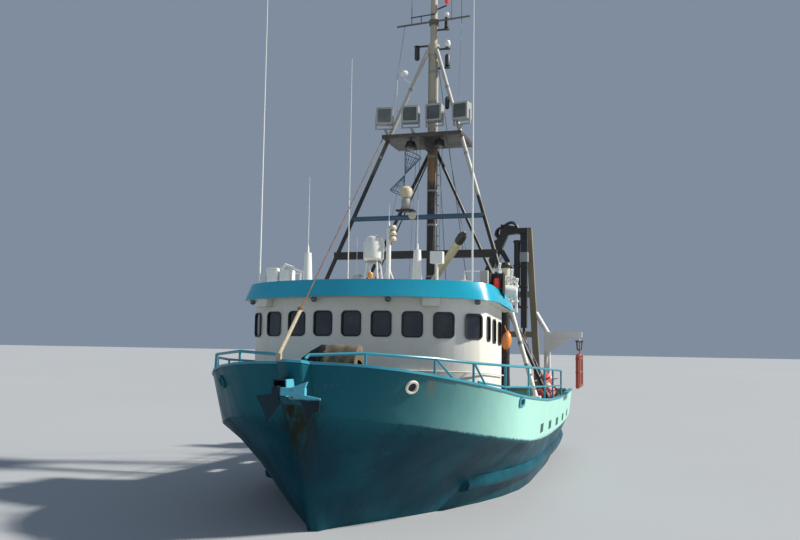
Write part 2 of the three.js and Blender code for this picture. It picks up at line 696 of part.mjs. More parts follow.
function addPlatform() {
  const { z, half, front, back, thick } = PLATFORM;
  const deck = block([-half, half], [front, back], [z, z + thick]);
  const bracket = block([-60, 60], [front + 60, back - 60], [z - 260, z + 10]);
  const lamps = FLOOD.xs.map((x, k) => {
    const w = FLOOD.width / 2;
    const turn = (k - 1.5) * -9 * DEG;
    const lamp = block([-w, w], [-FLOOD.deep / 2, FLOOD.deep / 2], [-w, w]);
    const yoke = [
      block([-w - 35, -w + 5], [-25, 25], [-w - 130, 40]), block([w - 5, w + 35], [-25, 25], [-w - 130, 40]),
      block([-w - 35, w + 35], [-25, 25], [-w - 150, -w - 120]),
    ];
    const foot = rod([-Math.sign(x) * 130, 0, z + thick - 20 - FLOOD.z], [0, 0, -w - 125], 40);
    return fuse(lamp, yoke, foot).rotateZ(turn).translate(x, FLOOD.y, FLOOD.z);
  });
  const legRoom = [1, -1].flatMap((side) => [
    rod(...backLegEnds(side), BACK_LEG.radius + 20), rod(...legEnds(side), LEG.radius + 15),
  ]);
  add('mast_platform', cut(fuse(deck, bracket, lamps), mastShape(SEAT), legRoom), 'grey');
}

function addBeams() {
  const across = (z) => {
    const part = (LEG.top[2] - z) / (LEG.top[2] - LEG.foot[2]);
    return [LEG.top[0] + (LEG.foot[0] - LEG.top[0]) * part, LEG.top[1] + (LEG.foot[1] - LEG.top[1]) * part];
  };
  const fatLegs = [1, -1].map((side) => rod(...legEnds(side), LEG.radius + SEAT, LEG.radius + SEAT, 16));
  const [lowX, lowY] = across(6440);
  const low = block([-lowX - 60, lowX + 60], [lowY - 80, lowY + 80], [6330, 6550]);
  add('mast_cross_beam', cut(low, fatLegs), 'black');
  const [highX, highY] = across(7600);
  const spreader = rod([-highX, highY, 7600], [highX, highY, 7600], 75);
  add('mast_spreader', cut(spreader, fatLegs), 'hull');
  const yard = { z: 14250, half: 1220, tilt: 60 };
  const hub = rod([0, MAST.y, yard.z - 90], [0, MAST.y, yard.z + 90], 160, 160, 16);
  const barY = MAST.y - 130;
  const bar = rod([-yard.half, barY, yard.z - yard.tilt], [yard.half, barY, yard.z + yard.tilt], 30);
  const link = block([-60, 60], [MAST.y - 180, MAST.y], [yard.z - 60, yard.z + 60]);
  const aerials = [-720, 620, 950].map((x) => (
    rod([x, barY, yard.z - 20], [x, barY, yard.z + 950], 14, 8, 8)
  ));
  add('masthead_yard', cut(fuse(hub, bar, link, aerials), mastShape(SEAT)), 'white');
}

const FORESTAY = { top: [-1190, 390, 10220], foot: [-190, -8775, 3610], tackle: 0.86, wire: 14, rope: 40 };

function addForestay() {
  const { top, foot, tackle, wire, rope } = FORESTAY;
  const shackle = top.map((value, axis) => value + (foot[axis] - value) * tackle);
  const [x, y, z] = top;
  const eye = block([x - 50, x + 50], [y - 60, PLATFORM.front - SEAT], [z - 60, z + 30]);
  const lugLow = along(CAP_SHEER, foot[1]) - 20;
  const lug = block([foot[0] - 50, foot[0] + 50], [foot[1] - 40, foot[1] + 40], [lugLow, foot[2] + 30]);
  const lines = [rod(top, shackle, wire, wire, 8), rod(shackle, foot, rope, rope, 8)];
  add('forestay', cut(fuse(lines, ball(shackle, 70, 8), eye, lug), moved(capSolid, 0, 0, SEAT)), 'rust');
}

// Derrick boom on the mast
const DERRICK = { heel: [50, 1330, 5640], tip: [2030, -2400, 6780], radius: 120 };

function derrickBracket() {
  const [x, y, z] = DERRICK.heel;
  const arms = [z - 230, z + 190].map((low) => (
    block([x - 90, x + 90], [y - 90, MAST.y - 100], [low, low + 40])
  ));
  return [...arms, rod([x, y, z - 230], [x, y, z + 230], 40, 40, 24)];
}

function addDerrick() {
  const [x, y, z] = DERRICK.heel;
  const sleeve = rod([x, y, z - 184], [x, y, z + 184], 75, 75, 16);
  const [dx, dy] = [DERRICK.tip[0] - x, DERRICK.tip[1] - y];
  const heading = Math.atan2(dy, dx);
  const ears = [-1, 1].map((side) => block([40, 330], [side * 125 - 15, side * 125 + 15], [-90, 90]));
  const bridge = block([40, 90], [-125, 125], [-90, 90]);
  const trunnion = rod([250, -130, 0], [250, 130, 0], 30, 30, 24);
  const yoke = [...ears, bridge, trunnion].map((part) => part.rotateZ(heading).translate(x, y, z));
  add('derrick_gooseneck', cut(fuse(sleeve, yoke), bore([x, y, z - 300], [x, y, z + 300], 40)), 'black');
  const reach = Math.hypot(dx, dy);
  const rise = Math.atan2(DERRICK.tip[2] - z, reach - 250);
  const length = Math.hypot(DERRICK.tip[2] - z, reach - 250);
  const cone = length - 320;
  const spar = fuse(
    rod([60, 0, 0], [cone, 0, 0], 95, DERRICK.radius, 16),
    rod([cone, 0, 0], [length, 0, 0], DERRICK.radius, 25, 16),
    rod([0, -85, 0], [0, 85, 0], 70, 70, 16),
  );
  const boom = cut(spar, bore([0, -200, 0], [0, 200, 0], 30));
  boom.rotateY(-rise).translate(250, 0, 0).rotateZ(heading).translate(x, y, z);
  add('derrick_boom', boom, 'cream');
}

// Stern gantry and gallows

function addGantry() {
  const { y, footX, lean, postTop, beamTop, section } = GANTRY;
  const foot = 1150;
  const xAt = (z) => footX - lean * (z - foot);
  const [front, back] = [y - section / 2, y + section / 2];
  const posts = [[1, postTop], [-1, beamTop]].map(([side, top]) => loft([foot, top].map((z) => {
    const [a, b] = [side * xAt(z) - section / 2, side * xAt(z) + section / 2];
    return [[a, front, z], [b, front, z], [b, back, z], [a, back, z]];
  })));
  const beam = block([-xAt(beamTop), xAt(beamTop)], [front, back], [beamTop - section, beamTop]);
  const bar = block([-xAt(4200), xAt(4200)], [y - 90, y + 90], [4100, 4300]);
  const lugs = [-1400, 0, 1400].map((x) => (
    block([x - 25, x + 25], [y - 80, y + 80], [beamTop - section - 230, beamTop - section + 20])
  ));
  add('gantry', onDeck(posts, beam, bar, lugs), 'mast');
}

function addGallows() {
  for (const [suffix, side] of [['port', 1], ['stbd', -1]]) {
    const { x, y, top, reach, section } = GALLOWS;
    const s = section / 2;
    const post = block([side * x - s, side * x + s], [y - s, y + s], [1100, top]);
    const armX = [side * x, side * reach].sort((a, b) => a - b);
    const arm = block(armX, [y - 70, y + 70], [top - 180, top]);
    const webX = side * (x + s - 10);
    const web = loft([-40, 40].map((dy) => [
      [webX, y + dy, top - 700], [webX, y + dy, top - 150], [side * (reach - 250), y + dy, top - 150],
    ]));
    const doorX = side * (reach - 90);
    const lug = block([doorX - 20, doorX + 20], [y - 60, y + 60], [top - 330, top - 160]);
    add(`gallows_${suffix}`, onDeck(post, arm, web, lug), 'white');
    // The board's outline: distance along the boat, height
    const outline = [[-850, 2420], [800, 2420], [850, 3300], [600, 3560], [-700, 3560], [-850, 3300]];
    const board = loft([-45, 45].map((dx) => outline.map(([dy, z]) => [doorX + dx, y + dy, z])));
    const link = block([doorX - 15, doorX + 15], [y - 40, y + 40], [3500, top - 330 - SEAT]);
    add(`trawl_door_${suffix}`, fuse(board, link), 'red');
  }
}

// Knuckle crane, folded against its column

function addCrane() {
  const { x, y, pedestalTop, pivot, knuckle, lean, head, jib } = CRANE;
  const tall = pedestalTop - 1250;
  add('crane_pedestal', onDeck(turned([
    [0, -80], [430, -80], [430, 40], [290, 120], [270, tall - 250], [360, tall - 40], [360, tall], [0, tall],
  ], [x, y, 1250])), 'black');

  const cheeks = [-1, 1].map((side) => {
    const at = y + side * 175;
    return block([x - 160, x + 160], [at - 20, at + 20], [pedestalTop + 400, pivot + 160]);
  });
  const trunkProfile = [[0, 0], [340, 0], [340, 120], [230, 180], [230, 500], [0, 500]];
  const trunk = turned(trunkProfile, [x, y, pedestalTop + SEAT]);
  const pin = rod([x, y - 190, pivot], [x, y + 190, pivot], 60, 60, 24);
  add('crane_column', fuse(trunk, cheeks, pin), 'black');

  const level = (middle, half, halfY, z) => [
    [middle - half, y - halfY, z], [middle + half, y - halfY, z],
    [middle + half, y + halfY, z], [middle - half, y + halfY, z],
  ];
  const spar = loft([level(x, 120, 120, pivot - 120), level(x + lean, 150, 120, knuckle + 60)]);
  const knuckleX = x + lean + head;
  const gooseneck = loft([-110, 110].map((dy) => [
    [x + lean - 230, y + dy, knuckle - 200], [knuckleX - 250, y + dy, knuckle - 130],
    [knuckleX - 210, y + dy, knuckle + 120], [x + lean - 190, y + dy, knuckle + 210],
  ]));
  const knuckleZ = knuckle - 50;
  const forkEars = [-1, 1].map((side) => {
    const at = y + side * 130;
    return block([knuckleX - 350, knuckleX + 80], [at - 20, at + 20], [knuckle - 130, knuckle + 60]);
  });
  const ties = block([knuckleX - 370, knuckleX - 190], [y - 150, y + 150], [knuckle - 130, knuckle + 60]);
  const knucklePin = rod([knuckleX, y - 140, knuckleZ], [knuckleX, y + 140, knuckleZ], 45, 45, 24);
  const boomBore = bore([x, y - 200, pivot], [x, y + 200, pivot], 60);
  add('crane_boom', cut(fuse(spar, gooseneck, ties, forkEars, knucklePin), boomBore), 'black');

  const tip = knuckleZ - jib;
  const arm = loft([level(knuckleX, 120, 90, knuckleZ + 110), level(knuckleX, 95, 90, tip)]);
  const hookLug = block([knuckleX - 40, knuckleX + 40], [y - 25, y + 25], [tip - 150, tip + 20]);
  const jibBore = bore([knuckleX, y - 200, knuckleZ], [knuckleX, y + 200, knuckleZ], 45);
  add('crane_jib', cut(fuse(arm, hookLug), jibBore), 'black');
}

// Trawl winches, net drum, hatch

function spool({ x0, x1, y, z, core, flange, pin }) {
  const barrel = rod([x0, y, z], [x1, y, z], core, core, 24);
  const rims = [[x0, x0 + 40], [x1 - 40, x1]].map(([a, b]) => rod([a, y, z], [b, y, z], flange, flange, 28));
  return cut(fuse(barrel, rims), bore([x0 - 10, y, z], [x1 + 10, y, z], pin));
}

function spoolStand({ x0, x1, y, z, flange, pin }) {
  const stands = [[x0 - 90, x0 - 50], [x1 + 50, x1 + 90]].map(([a, b]) => loft([a, b].map((x) => [
    [x, y - flange * 0.8, 1150], [x, y + flange * 0.8, 1150], [x, y + 120, z + 120], [x, y - 120, z + 120],
  ])));
  const axle = rod([x0 - 70, y, z], [x1 + 70, y, z], pin, pin, 24);
  return [...stands, axle];
}

function addDeckGear() {
  const winches = [1, -1].map((side) => ({
    x0: side > 0 ? 700 : -1650, x1: side > 0 ? 1650 : -700, y: -900, z: 2150, core: 200, flange: 560, pin: 50,
  }));
  const bed = block([-1700, 1700], [-1300, -1150], [1150, 1500]);
  add('winch_frame', onDeck(winches.flatMap(spoolStand), bed), 'grey');
  winches.forEach((winch, k) => add(['winch_drum_port', 'winch_drum_stbd'][k], spool(winch), 'steel'));
  const reel = { x0: -1500, x1: 1500, y: 7000, z: 2350, core: 260, flange: 850, pin: 70 };
  const foot = block([-1550, 1550], [6940, 7060], [1150, 1330]);
  add('net_drum_stand', onDeck(spoolStand(reel), foot), 'grey');
  add('net_drum', spool(reel), 'rust');
}

const HATCH = { half: 650, y0: 2600, y1: 3800, top: 1700, wall: 50, hingeXs: [-400, 400], pin: 14 };

function addHatch() {
  const { half, y0, y1, top, wall, hingeXs, pin } = HATCH;
  const coaming = cut(
    block([-half, half], [y0, y1], [1200, top]),
    block([-half + wall, half - wall], [y0 + wall, y1 - wall], [1100, top + 50]),
  );
  const pinZ = top + 30;
  const pinY = y1 + 50;
  const ears = hingeXs.map((x) => block([x - 70, x - 36], [y1 - 10, pinY + 24], [top - 120, pinZ + 24]));
  const pins = hingeXs.map((x) => rod([x - 60, pinY, pinZ], [x + 40, pinY, pinZ], pin));
  add('hatch_coaming', onDeck(coaming, ears, pins), 'hull');
  const lid = block([-half - 30, half + 30], [y0 - 30, y1 + 10], [top + SEAT, top + 60]);
  const lugs = hingeXs.map((x) => block([x - 30, x + 30], [y1, pinY + 24], [pinZ - 24, pinZ + 24]));
  const bores = hingeXs.map((x) => bore([x - 80, pinY, pinZ], [x + 80, pinY, pinZ], pin, 12));
  const earRoom = hingeXs.map((x) => block([x - 76, x - 30], [y1 - 30, y1 + 60], [top - 60, pinZ + 60]));
  add('hatch_lid', cut(fuse(cut(lid, earRoom), lugs), bores), 'hull');
}

// Stern gear under water

function addPropeller() {
  const { y, radius, hub, blades } = PROPELLER;
  const boss = rod([0, y - 150, SHAFT.z], [0, y + 150, SHAFT.z], hub, 90, 20);
  const cone = rod([0, y + 150, SHAFT.z], [0, y + 290, SHAFT.z], 90, 20, 20);
  const shaft = rod([0, 5000, SHAFT.z], [0, y, SHAFT.z], SHAFT.radius, SHAFT.radius, 16);
  const parts = [boss, cone, shaft];
  for (let k = 0; k < blades; k += 1) {
    // Blade sections: distance out, half-width, pitch angle
    const sections = [
      [hub * 0.6, 110, 55], [0.45 * radius, 200, 42], [0.75 * radius, 230, 32], [radius, 90, 26],
    ];
    const blade = loft(sections.map(([out, half, pitch]) => (
      [[-half, -5], [0, -16], [half, -5], [half, 5], [0, 16], [-half, 5]].map(([a, b]) => {
        const turn = pitch * DEG;
        return [a * Math.cos(turn) - b * Math.sin(turn), a * Math.sin(turn) + b * Math.cos(turn), out];
      })
    )));
    parts.push(blade.rotateY((k * 360 / blades) * DEG).translate(0, y, SHAFT.z));
  }
  add('propeller', fuse(...parts), 'bronze');
}

function addRudder() {
  const { y, stock, stockTop, pintle, front, back, top, bottom, half } = RUDDER;
  const outline = [[front, 25], [front + 130, half], [y + 200, half], [back, 12]];
  const blade = loft([bottom, top].map((z) => [
    ...outline.map(([at, x]) => [x, at, z]), ...outline.slice().reverse().map(([at, x]) => [-x, at, z]),
  ]));
  const post = rod([0, y, KEEL.bottom + 155], [0, y, stockTop], stock, stock, 24);
  const foot = rod([0, y, KEEL.bottom + 60 + SEAT], [0, y, bottom], pintle, pintle, 24);
  add('rudder', fuse(blade, post, foot), 'bottom');
}

// Gear on the house roof: each stands on the sloping roof
const roofAt = (y) => fallAft(ROOF.high, y);

function onRoof(...parts) {
  const bed = levelBody([roofLevel(ROOF.low - 400, 0), roofLevel(ROOF.high + SEAT, 0)]);
  return cut(fuse(...parts), bed);
}

function addRoofGear() {
  const y = -4100;
  const deck = roofAt(y);
  const domeX = 90;
  const dome = turned([
    [0, 0], [180, 0], [255, 70], [265, 440], [200, 590], [90, 650], [0, 660],
  ], [domeX, y, deck + 880], 20);
  const legs = [[-1, -1], [-1, 1], [1, -1], [1, 1]].map(([a, b]) => (
    rod([domeX + a * 220, y + b * 220, deck - 40], [domeX + a * 120, y + b * 120, deck + 910], 25, 25, 8)
  ));
  // Posts: x, foot radius, top radius, height above the roof
  const posts = [
    [-1680, 150, 90, 1130], [480, 60, 60, 1700], [1220, 150, 90, 1150], [1720, 35, 35, 850],
  ].map(([x, footRadius, topRadius, high]) => (
    rod([x, y, deck - 60], [x, y, deck + high], footRadius, topRadius, 16)
  ));
  const scanner = block([1570, 1870], [y - 110, y + 110], [deck + 810, deck + 1100]);
  const rail = rod([-1680, y, deck + 120], [1720, y, deck + 120], 30, 30, 8);
  const tray = block([domeX - 250, domeX + 250], [y - 230, y + 230], [deck + 100, deck + 140]);
  add('roof_antennas', onRoof(dome, legs, posts, scanner, rail, tray), 'white');
  const whips = [['whip_port', 2570, -4000], ['whip_stbd', -2880, -4380]];
  for (const [name, x, at] of whips) {
    const base = roofAt(at);
    const mount = rod([x, at, base - 60], [x, at, base + 350], 45);
    add(name, onRoof(rod([x, at, base - 60], [x, at, base + 7900], 26, 10, 8), mount), 'white');
  }
  add('raft_canister', onRoof(
    rod([2150, -2900, roofAt(-2900) + 330], [2150, -2150, roofAt(-2900) + 330], 260, 260, 16),
    [-2750, -2300].map((at) => (
      block([1950, 2350], [at - 30, at + 30], [roofAt(at) - 60, roofAt(-2900) + 200])
    )),
  ), 'white');
}

// Pipes of the exhaust stack: x, radius, top
const STACK = { y: -1500, wide: [2950, 110, 5900], thin: [2660, 80, 5700] };

function addExhaust() {
  const { y, wide, thin } = STACK;
  const pipes = [wide, thin].map(([x, radius, top]) => rod([x, y, 1300], [x, y, top], radius, radius, 16));
  const strap = block([thin[0] - 50, wide[0] + 60], [y - 40, y + 40], [3800, 3900]);
  add('exhaust', onDeck(pipes, strap), 'cream');
}

addHull();
addKeel();
add('bulwark', bulwarkSolid, 'hull');
add('cap_rail', capSolid, 'hull');
addStern();
addGuards();
addHouse();
addRoof();
addAftWall();
addWindlass();
addAnchor();
addBitts();
addRails();
addMast();
addPlatform();
addBeams();
addForestay();
addDerrick();
addGantry();
addGallows();
addCrane();
addDeckGear();
addHatch();
addPropeller();
addRudder();
addRoofGear();
addExhaust();

export default trawler;
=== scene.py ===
"""Looks of a small steel fishing trawler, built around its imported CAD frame.

Everything is in metres, with the bow towards -Y, port towards +X, up +Z and the waterline at z = 0.
"""

import logging
import math
from collections.abc import Iterable, Sequence
from dataclasses import dataclass, field
from enum import Enum
from functools import cache

import bmesh
import bpy
from mathutils import Matrix, Vector
from mathutils.bvhtree import BVHTree


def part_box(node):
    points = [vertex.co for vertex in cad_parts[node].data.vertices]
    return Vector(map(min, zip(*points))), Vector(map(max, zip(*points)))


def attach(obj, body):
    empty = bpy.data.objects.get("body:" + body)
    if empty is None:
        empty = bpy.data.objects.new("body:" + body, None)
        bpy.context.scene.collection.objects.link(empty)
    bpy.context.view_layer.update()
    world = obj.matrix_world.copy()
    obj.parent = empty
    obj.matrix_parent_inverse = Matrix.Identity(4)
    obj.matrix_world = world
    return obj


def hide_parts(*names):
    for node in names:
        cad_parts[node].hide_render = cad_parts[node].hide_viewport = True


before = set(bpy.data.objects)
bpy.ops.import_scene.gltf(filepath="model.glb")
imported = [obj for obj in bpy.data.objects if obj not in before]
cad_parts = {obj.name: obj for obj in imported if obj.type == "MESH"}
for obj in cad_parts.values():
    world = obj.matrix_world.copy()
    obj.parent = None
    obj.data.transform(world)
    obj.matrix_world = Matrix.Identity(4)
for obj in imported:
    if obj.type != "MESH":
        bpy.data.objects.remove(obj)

LOG = logging.getLogger("trawler")
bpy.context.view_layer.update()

Colour = tuple[float, float, float]
Point = tuple[float, float, float]
Pairs = Sequence[tuple[float, float]]
Path = Sequence[Sequence[float]]

UP: Point = (0, 0, 1)
AHEAD: Point = (0, -1, 0)
AFT: Point = (0, 1, 0)

GRIME: Colour = (0.09, 0.085, 0.07)
RUST_DARK: Colour = (0.16, 0.055, 0.02)
RUST_PALE: Colour = (0.34, 0.15, 0.06)
WORN_DECK: Colour = (0.16, 0.11, 0.08)


class Side(Enum):
    """The two sides of the boat, by the sign of X."""

    PORT = 1
    STARBOARD = -1

    @property
    def label(self) -> str:
        """The side's name for use in the names of pieces."""
        return self.name.lower()


# Shader maths


class Signal:
    """A node's output socket that takes part in Python expressions."""

    def __init__(self, shader: "Shader", socket: bpy.types.NodeSocket) -> None:
        """Keeps the socket and the shader that it belongs to."""
        self.shader = shader
        self.socket = socket

    def _math(self, operation: str, first: object, second: object) -> "Signal":
        """Returns the Math node's result for two numbers or signals."""
        return self.shader.node("ShaderNodeMath", {"operation": operation}, {0: first, 1: second})

    def __add__(self, other: object) -> "Signal":
        """Returns self + other."""
        return self._math("ADD", self, other)

    def __radd__(self, other: object) -> "Signal":
        """Returns other + self."""
        return self._math("ADD", other, self)

    def __sub__(self, other: object) -> "Signal":
        """Returns self - other."""
        return self._math("SUBTRACT", self, other)

    def __rsub__(self, other: object) -> "Signal":
        """Returns other - self."""
        return self._math("SUBTRACT", other, self)

    def __mul__(self, other: object) -> "Signal":
        """Returns self * other."""
        return self._math("MULTIPLY", self, other)

    def __rmul__(self, other: object) -> "Signal":
        """Returns other * self."""
        return self._math("MULTIPLY", other, self)

    def most(self, other: object) -> "Signal":
        """Returns the larger of self and other."""
        return self._math("MAXIMUM", self, other)

    def size(self) -> "Signal":
        """Returns self without its sign."""
        return self._math("ABSOLUTE", self, 0.0)

    def step(self, low: float, high: float) -> "Signal":
        """Returns a smooth step.

        Args:
            low: Where it starts, at 0.
            high: Where it ends, at 1.

        Returns:
            The stepped signal.
        """
        return self.shader.node(
            "ShaderNodeMapRange",
            {"interpolation_type": "SMOOTHSTEP"},
            {"Value": self, "From Min": low, "From Max": high},
        )


class Shader:
    """A node material under construction, with one Principled shader."""

    def __init__(self, name: str) -> None:
        """Starts an empty material.

        Args:
            name: The material's name.
        """
        self.material = bpy.data.materials.new(name)
        self.material.use_nodes = True
        self.tree = self.material.node_tree
        self.tree.nodes.clear()
        self.output = self.tree.nodes.new("ShaderNodeOutputMaterial")
        self.place = self.node("ShaderNodeTexCoord", {}, {}, "Object")

    def node(
        self,
        kind: str,
        settings: dict[str, object],
        inputs: dict[int | str, object],
        output: int | str = 0,
    ) -> Signal:
        """Adds a node.

        Args:
            kind: The node's type.
            settings: Its properties.
            inputs: Values or signals by socket name or number.
            output: The socket that is returned.

        Returns:
            The chosen output as a signal.
        """
        made = self.tree.nodes.new(kind)
        for key, value in settings.items():
            setattr(made, key, value)
        for key, value in inputs.items():
            if isinstance(value, Signal):
                self.tree.links.new(value.socket, made.inputs[key])
            else:
                made.inputs[key].default_value = value
        return Signal(self, made.outputs[output])

    def axis(self, name: str) -> Signal:
        """Returns the X, Y or Z of the place on the object."""
        return self.node("ShaderNodeSeparateXYZ", {}, {0: self.place}, name)

    def stretched(self, factors: Point) -> Signal:
        """Returns the place on the object, scaled by axis."""
        return self.node("ShaderNodeVectorMath", {"operation": "MULTIPLY"}, {0: self.place, 1: factors})

    def noise(self, scale: float, detail: float = 4.0, factors: Point = (1, 1, 1)) -> Signal:
        """Returns a noise of that scale, stretched by factors along the axes."""
        inputs = {"Vector": self.stretched(factors), "Scale": scale, "Detail": detail}
        return self.node("ShaderNodeTexNoise", {}, inputs)

    def mix(self, base: object, top: object, share: object) -> Signal:
        """Covers one colour with another.

        Args:
            base: The colour below.
            top: The colour above.
            share: How far it covers, from 0 to 1.

        Returns:
            The mixed colour.
        """
        first = (*base, 1.0) if isinstance(base, tuple) else base
        second = (*top, 1.0) if isinstance(top, tuple) else top
        return self.node("ShaderNodeMix", {"data_type": "RGBA"}, {0: share, 6: first, 7: second}, 2)

    def bump(self, height: Signal, depth: float, under: Signal | None = None) -> Signal:
        """Raises a surface.

        Args:
            height: Its height, from 0 to 1.
            depth: How many metres a height of 1 is.
            under: The normal that it is laid over.

        Returns:
            The new normal.
        """
        inputs: dict[int | str, object] = {"Height": height, "Distance": depth}
        if under is not None:
            inputs["Normal"] = under
        return self.node("ShaderNodeBump", {}, inputs)

    def finish(self, inputs: dict[str, object]) -> bpy.types.Material:
        """Adds the Principled shader.

        Args:
            inputs: Values or signals by socket name.

        Returns:
            The finished material.
        """
        shader = self.node("ShaderNodeBsdfPrincipled", {}, inputs)
        self.tree.links.new(shader.socket, self.output.inputs["Surface"])
        return self.material


# Finishes


@dataclass(frozen=True)
class Finish:
    """What a piece is covered with, and the record's slot for it where that isn't the finish's own name."""

    name: str
    colour: Colour
    slot: str = field(default="", kw_only=True)

    @cache
    def material(self) -> bpy.types.Material:
        """Returns the finish's material, made once."""
        return self.build()

    def build(self) -> bpy.types.Material:
        """Returns a new material."""
        raise NotImplementedError


@dataclass(frozen=True)
class Stain:
    """A run of rust or dirt down a plate, from a place on it."""

    x: float
    y: float
    top: float
    length: float
    width: float
    strength: float = 0.8
    tone: Colour = (0.22, 0.09, 0.03)


@dataclass(frozen=True)
class Band:
    """A colour that takes over above a height, which may rise towards the bow."""

    above: float
    colour: Colour
    blur: float = 0.04
    rise: float = 0.0
    level: float = 2.5
    # The Y and X ranges below narrow a band of painted sunlight.
    lit_ramp: tuple[float, float] | None = None
    across: tuple[float, float] | None = None

    def share(self, shader: Shader, z: Signal) -> Signal:
        """Grows the colour aft along Y and to port along X, where those ranges are given; they spread painted
        sunlight.

        Args:
            shader: The material under construction.
            z: The height of each place.

        Returns:
            How far the colour covers each place.
        """
        edge = z + (shader.noise(9.0, 3) - 0.5) * self.blur
        if self.rise:
            ahead = (self.level - shader.axis("Y")).most(0.0)
            edge = edge - ahead * ahead * self.rise
        covered = edge.step(self.above, self.above + self.blur)
        if self.lit_ramp:
            covered = covered * shader.axis("Y").step(*self.lit_ramp)
        if self.across:
            covered = covered * shader.axis("X").step(*self.across)
        return covered


@dataclass(frozen=True)
class Paint(Finish):
    """Weathered marine paint: faded, streaked, chipped to rust, with dents in the plate under it."""

    faded: Colour
    rough: float = 0.42
    rust: float = 0.3
    streaks: float = 0.35
    dents: float = 0.0
    shine: float = 0.5
    bands: tuple[Band, ...] = ()
    stains: tuple[Stain, ...] = ()
    deck: Colour | None = None

    def build(self) -> bpy.types.Material:
        """Fades, streaks, chips and dents the paint.

        Returns:
            The paint's material.
        """
        shader = Shader(self.name)
        z = shader.axis("Z")
        fade = shader.noise(0.7, 6).step(0.35, 0.72)
        colour = shader.mix(self.colour, self.faded, fade)
        for band in self.bands:
            colour = shader.mix(colour, band.colour, band.share(shader, z))
        runs = shader.noise(5.0, 5, (1, 1, 0.09)).step(0.52, 0.78)
        cloud = shader.noise(1.3, 4).step(0.35, 0.7)
        colour = shader.mix(colour, GRIME, runs * cloud * self.streaks)
        chips = shader.noise(16.0, 8).step(0.62 - 0.1 * self.rust, 0.68 - 0.06 * self.rust)
        patches = shader.noise(1.1, 5).step(0.48, 0.62)
        rusty = chips * patches * min(1.0, 2.2 * self.rust)
        drips = shader.noise(11.0, 4, (1, 1, 0.06)).step(0.6, 0.74) * patches
        rusty = rusty.most(drips * self.rust)
        tone = shader.mix(RUST_DARK, RUST_PALE, shader.noise(22.0, 5))
        colour = shader.mix(colour, tone, rusty)
        for stain in self.stains:
            colour = shader.mix(colour, stain.tone, self._run(shader, stain, z))
        grain = shader.noise(90.0, 3)
        rough = self.rough + cloud * 0.12 + rusty * 0.35 + (grain - 0.5) * 0.1
        if self.deck is not None:
            colour, rough = self._tread(shader, colour, rough)
        height = grain * 0.15 + chips * patches * -0.4
        normal = shader.bump(height, 0.0015)
        if self.dents:
            normal = shader.bump(shader.noise(1.05, 2, (1, 1, 0.7)), self.dents, normal)
        return shader.finish(
            {
                "Base Color": colour,
                "Roughness": rough,
                "Specular IOR Level": self.shine,
                "Normal": normal,
            }
        )

    @staticmethod
    def _run(shader: Shader, stain: Stain, z: Signal) -> Signal:
        """Runs a stain down the plate.

        Args:
            shader: The material under construction.
            stain: The stain.
            z: The height of each place.

        Returns:
            How strongly it shows at each place.
        """
        along = (shader.axis("Y") - stain.y).size() + (shader.axis("X") - stain.x).size()
        side = 1 - along.step(stain.width * 0.2, stain.width)
        below = z.step(stain.top - stain.length, stain.top)
        under = 1 - z.step(stain.top, stain.top + 0.05)
        ragged = shader.noise(9.0, 5, (1, 1, 0.07)).step(0.25, 0.6)
        return side * below * under * ragged * stain.strength

    def _tread(self, shader: Shader, colour: Signal, rough: Signal) -> tuple[Signal, Signal]:
        """Dresses the flat top as a walked deck.

        Args:
            shader: The material under construction.
            colour: The colour so far.
            rough: The roughness so far.

        Returns:
            The colour and roughness with the deck.
        """
        up = shader.node("ShaderNodeNewGeometry", {}, {}, "Normal")
        flat = shader.node("ShaderNodeSeparateXYZ", {}, {0: up}, "Z").step(0.9, 0.97)
        worn = shader.noise(0.9, 6).step(0.4, 0.7)
        deck = shader.mix(self.deck, WORN_DECK, worn * 0.7)
        return shader.mix(colour, deck, flat), rough + flat * 0.3


@dataclass(frozen=True)
class Metal(Finish):
    """Bare or galvanised metal, dulled and spotted with rust."""

    rough: float = 0.4
    rust: float = 0.3

    def build(self) -> bpy.types.Material:
        """Dulls, scratches and rusts the metal.

        Returns:
            The metal's material.
        """
        shader = Shader(self.name)
        dull = shader.noise(3.0, 6)
        colour = shader.mix(self.colour, tuple(0.55 * part for part in self.colour), dull.step(0.4, 0.7))
        rusty = shader.noise(8.0, 8).step(0.6 - 0.2 * self.rust, 0.72) * min(1.0, 1.6 * self.rust)
        colour = shader.mix(colour, (0.24, 0.10, 0.04), rusty)
        scratch = shader.noise(60.0, 2, (1, 0.15, 1))
        return shader.finish(
            {
                "Base Color": colour,
                "Metallic": 1 - rusty,
                "Roughness": self.rough + dull * 0.2 + rusty * 0.3,
                "Normal": shader.bump(scratch + rusty * 0.5, 0.0008),
            }
        )


@dataclass(frozen=True)
class Strand(Finish):
    """Rope, twine or wire laid up of strands that show as slanting ridges."""

    dark: Colour
    pitch: float = 60.0
    metallic: float = 0.0
    rough: float = 0.8
    low_end: Band | None = None

    def build(self) -> bpy.types.Material:
        """Lays up and soils the strands.

        Returns:
            The strand's material.
        """
        shader = Shader(self.name)
        lay = shader.node(
            "ShaderNodeTexWave",
            {"bands_direction": "DIAGONAL"},
            {"Vector": shader.place, "Scale": self.pitch, "Distortion": 1.5, "Detail": 2.0},
        )
        soil = shader.noise(4.0, 6).step(0.35, 0.7)
        colour = shader.mix(shader.mix(self.dark, self.colour, lay), self.dark, soil * 0.7)
        if self.low_end is not None:
            below = 1 - shader.axis("Z").step(self.low_end.above, self.low_end.above + self.low_end.blur)
            colour = shader.mix(colour, self.low_end.colour, below * (lay * 0.6 + 0.4))
        return shader.finish(
            {
                "Base Color": colour,
                "Metallic": self.metallic,
                "Roughness": self.rough + (soil - 0.5) * 0.2,
                "Normal": shader.bump(lay, 0.003),
            }
        )


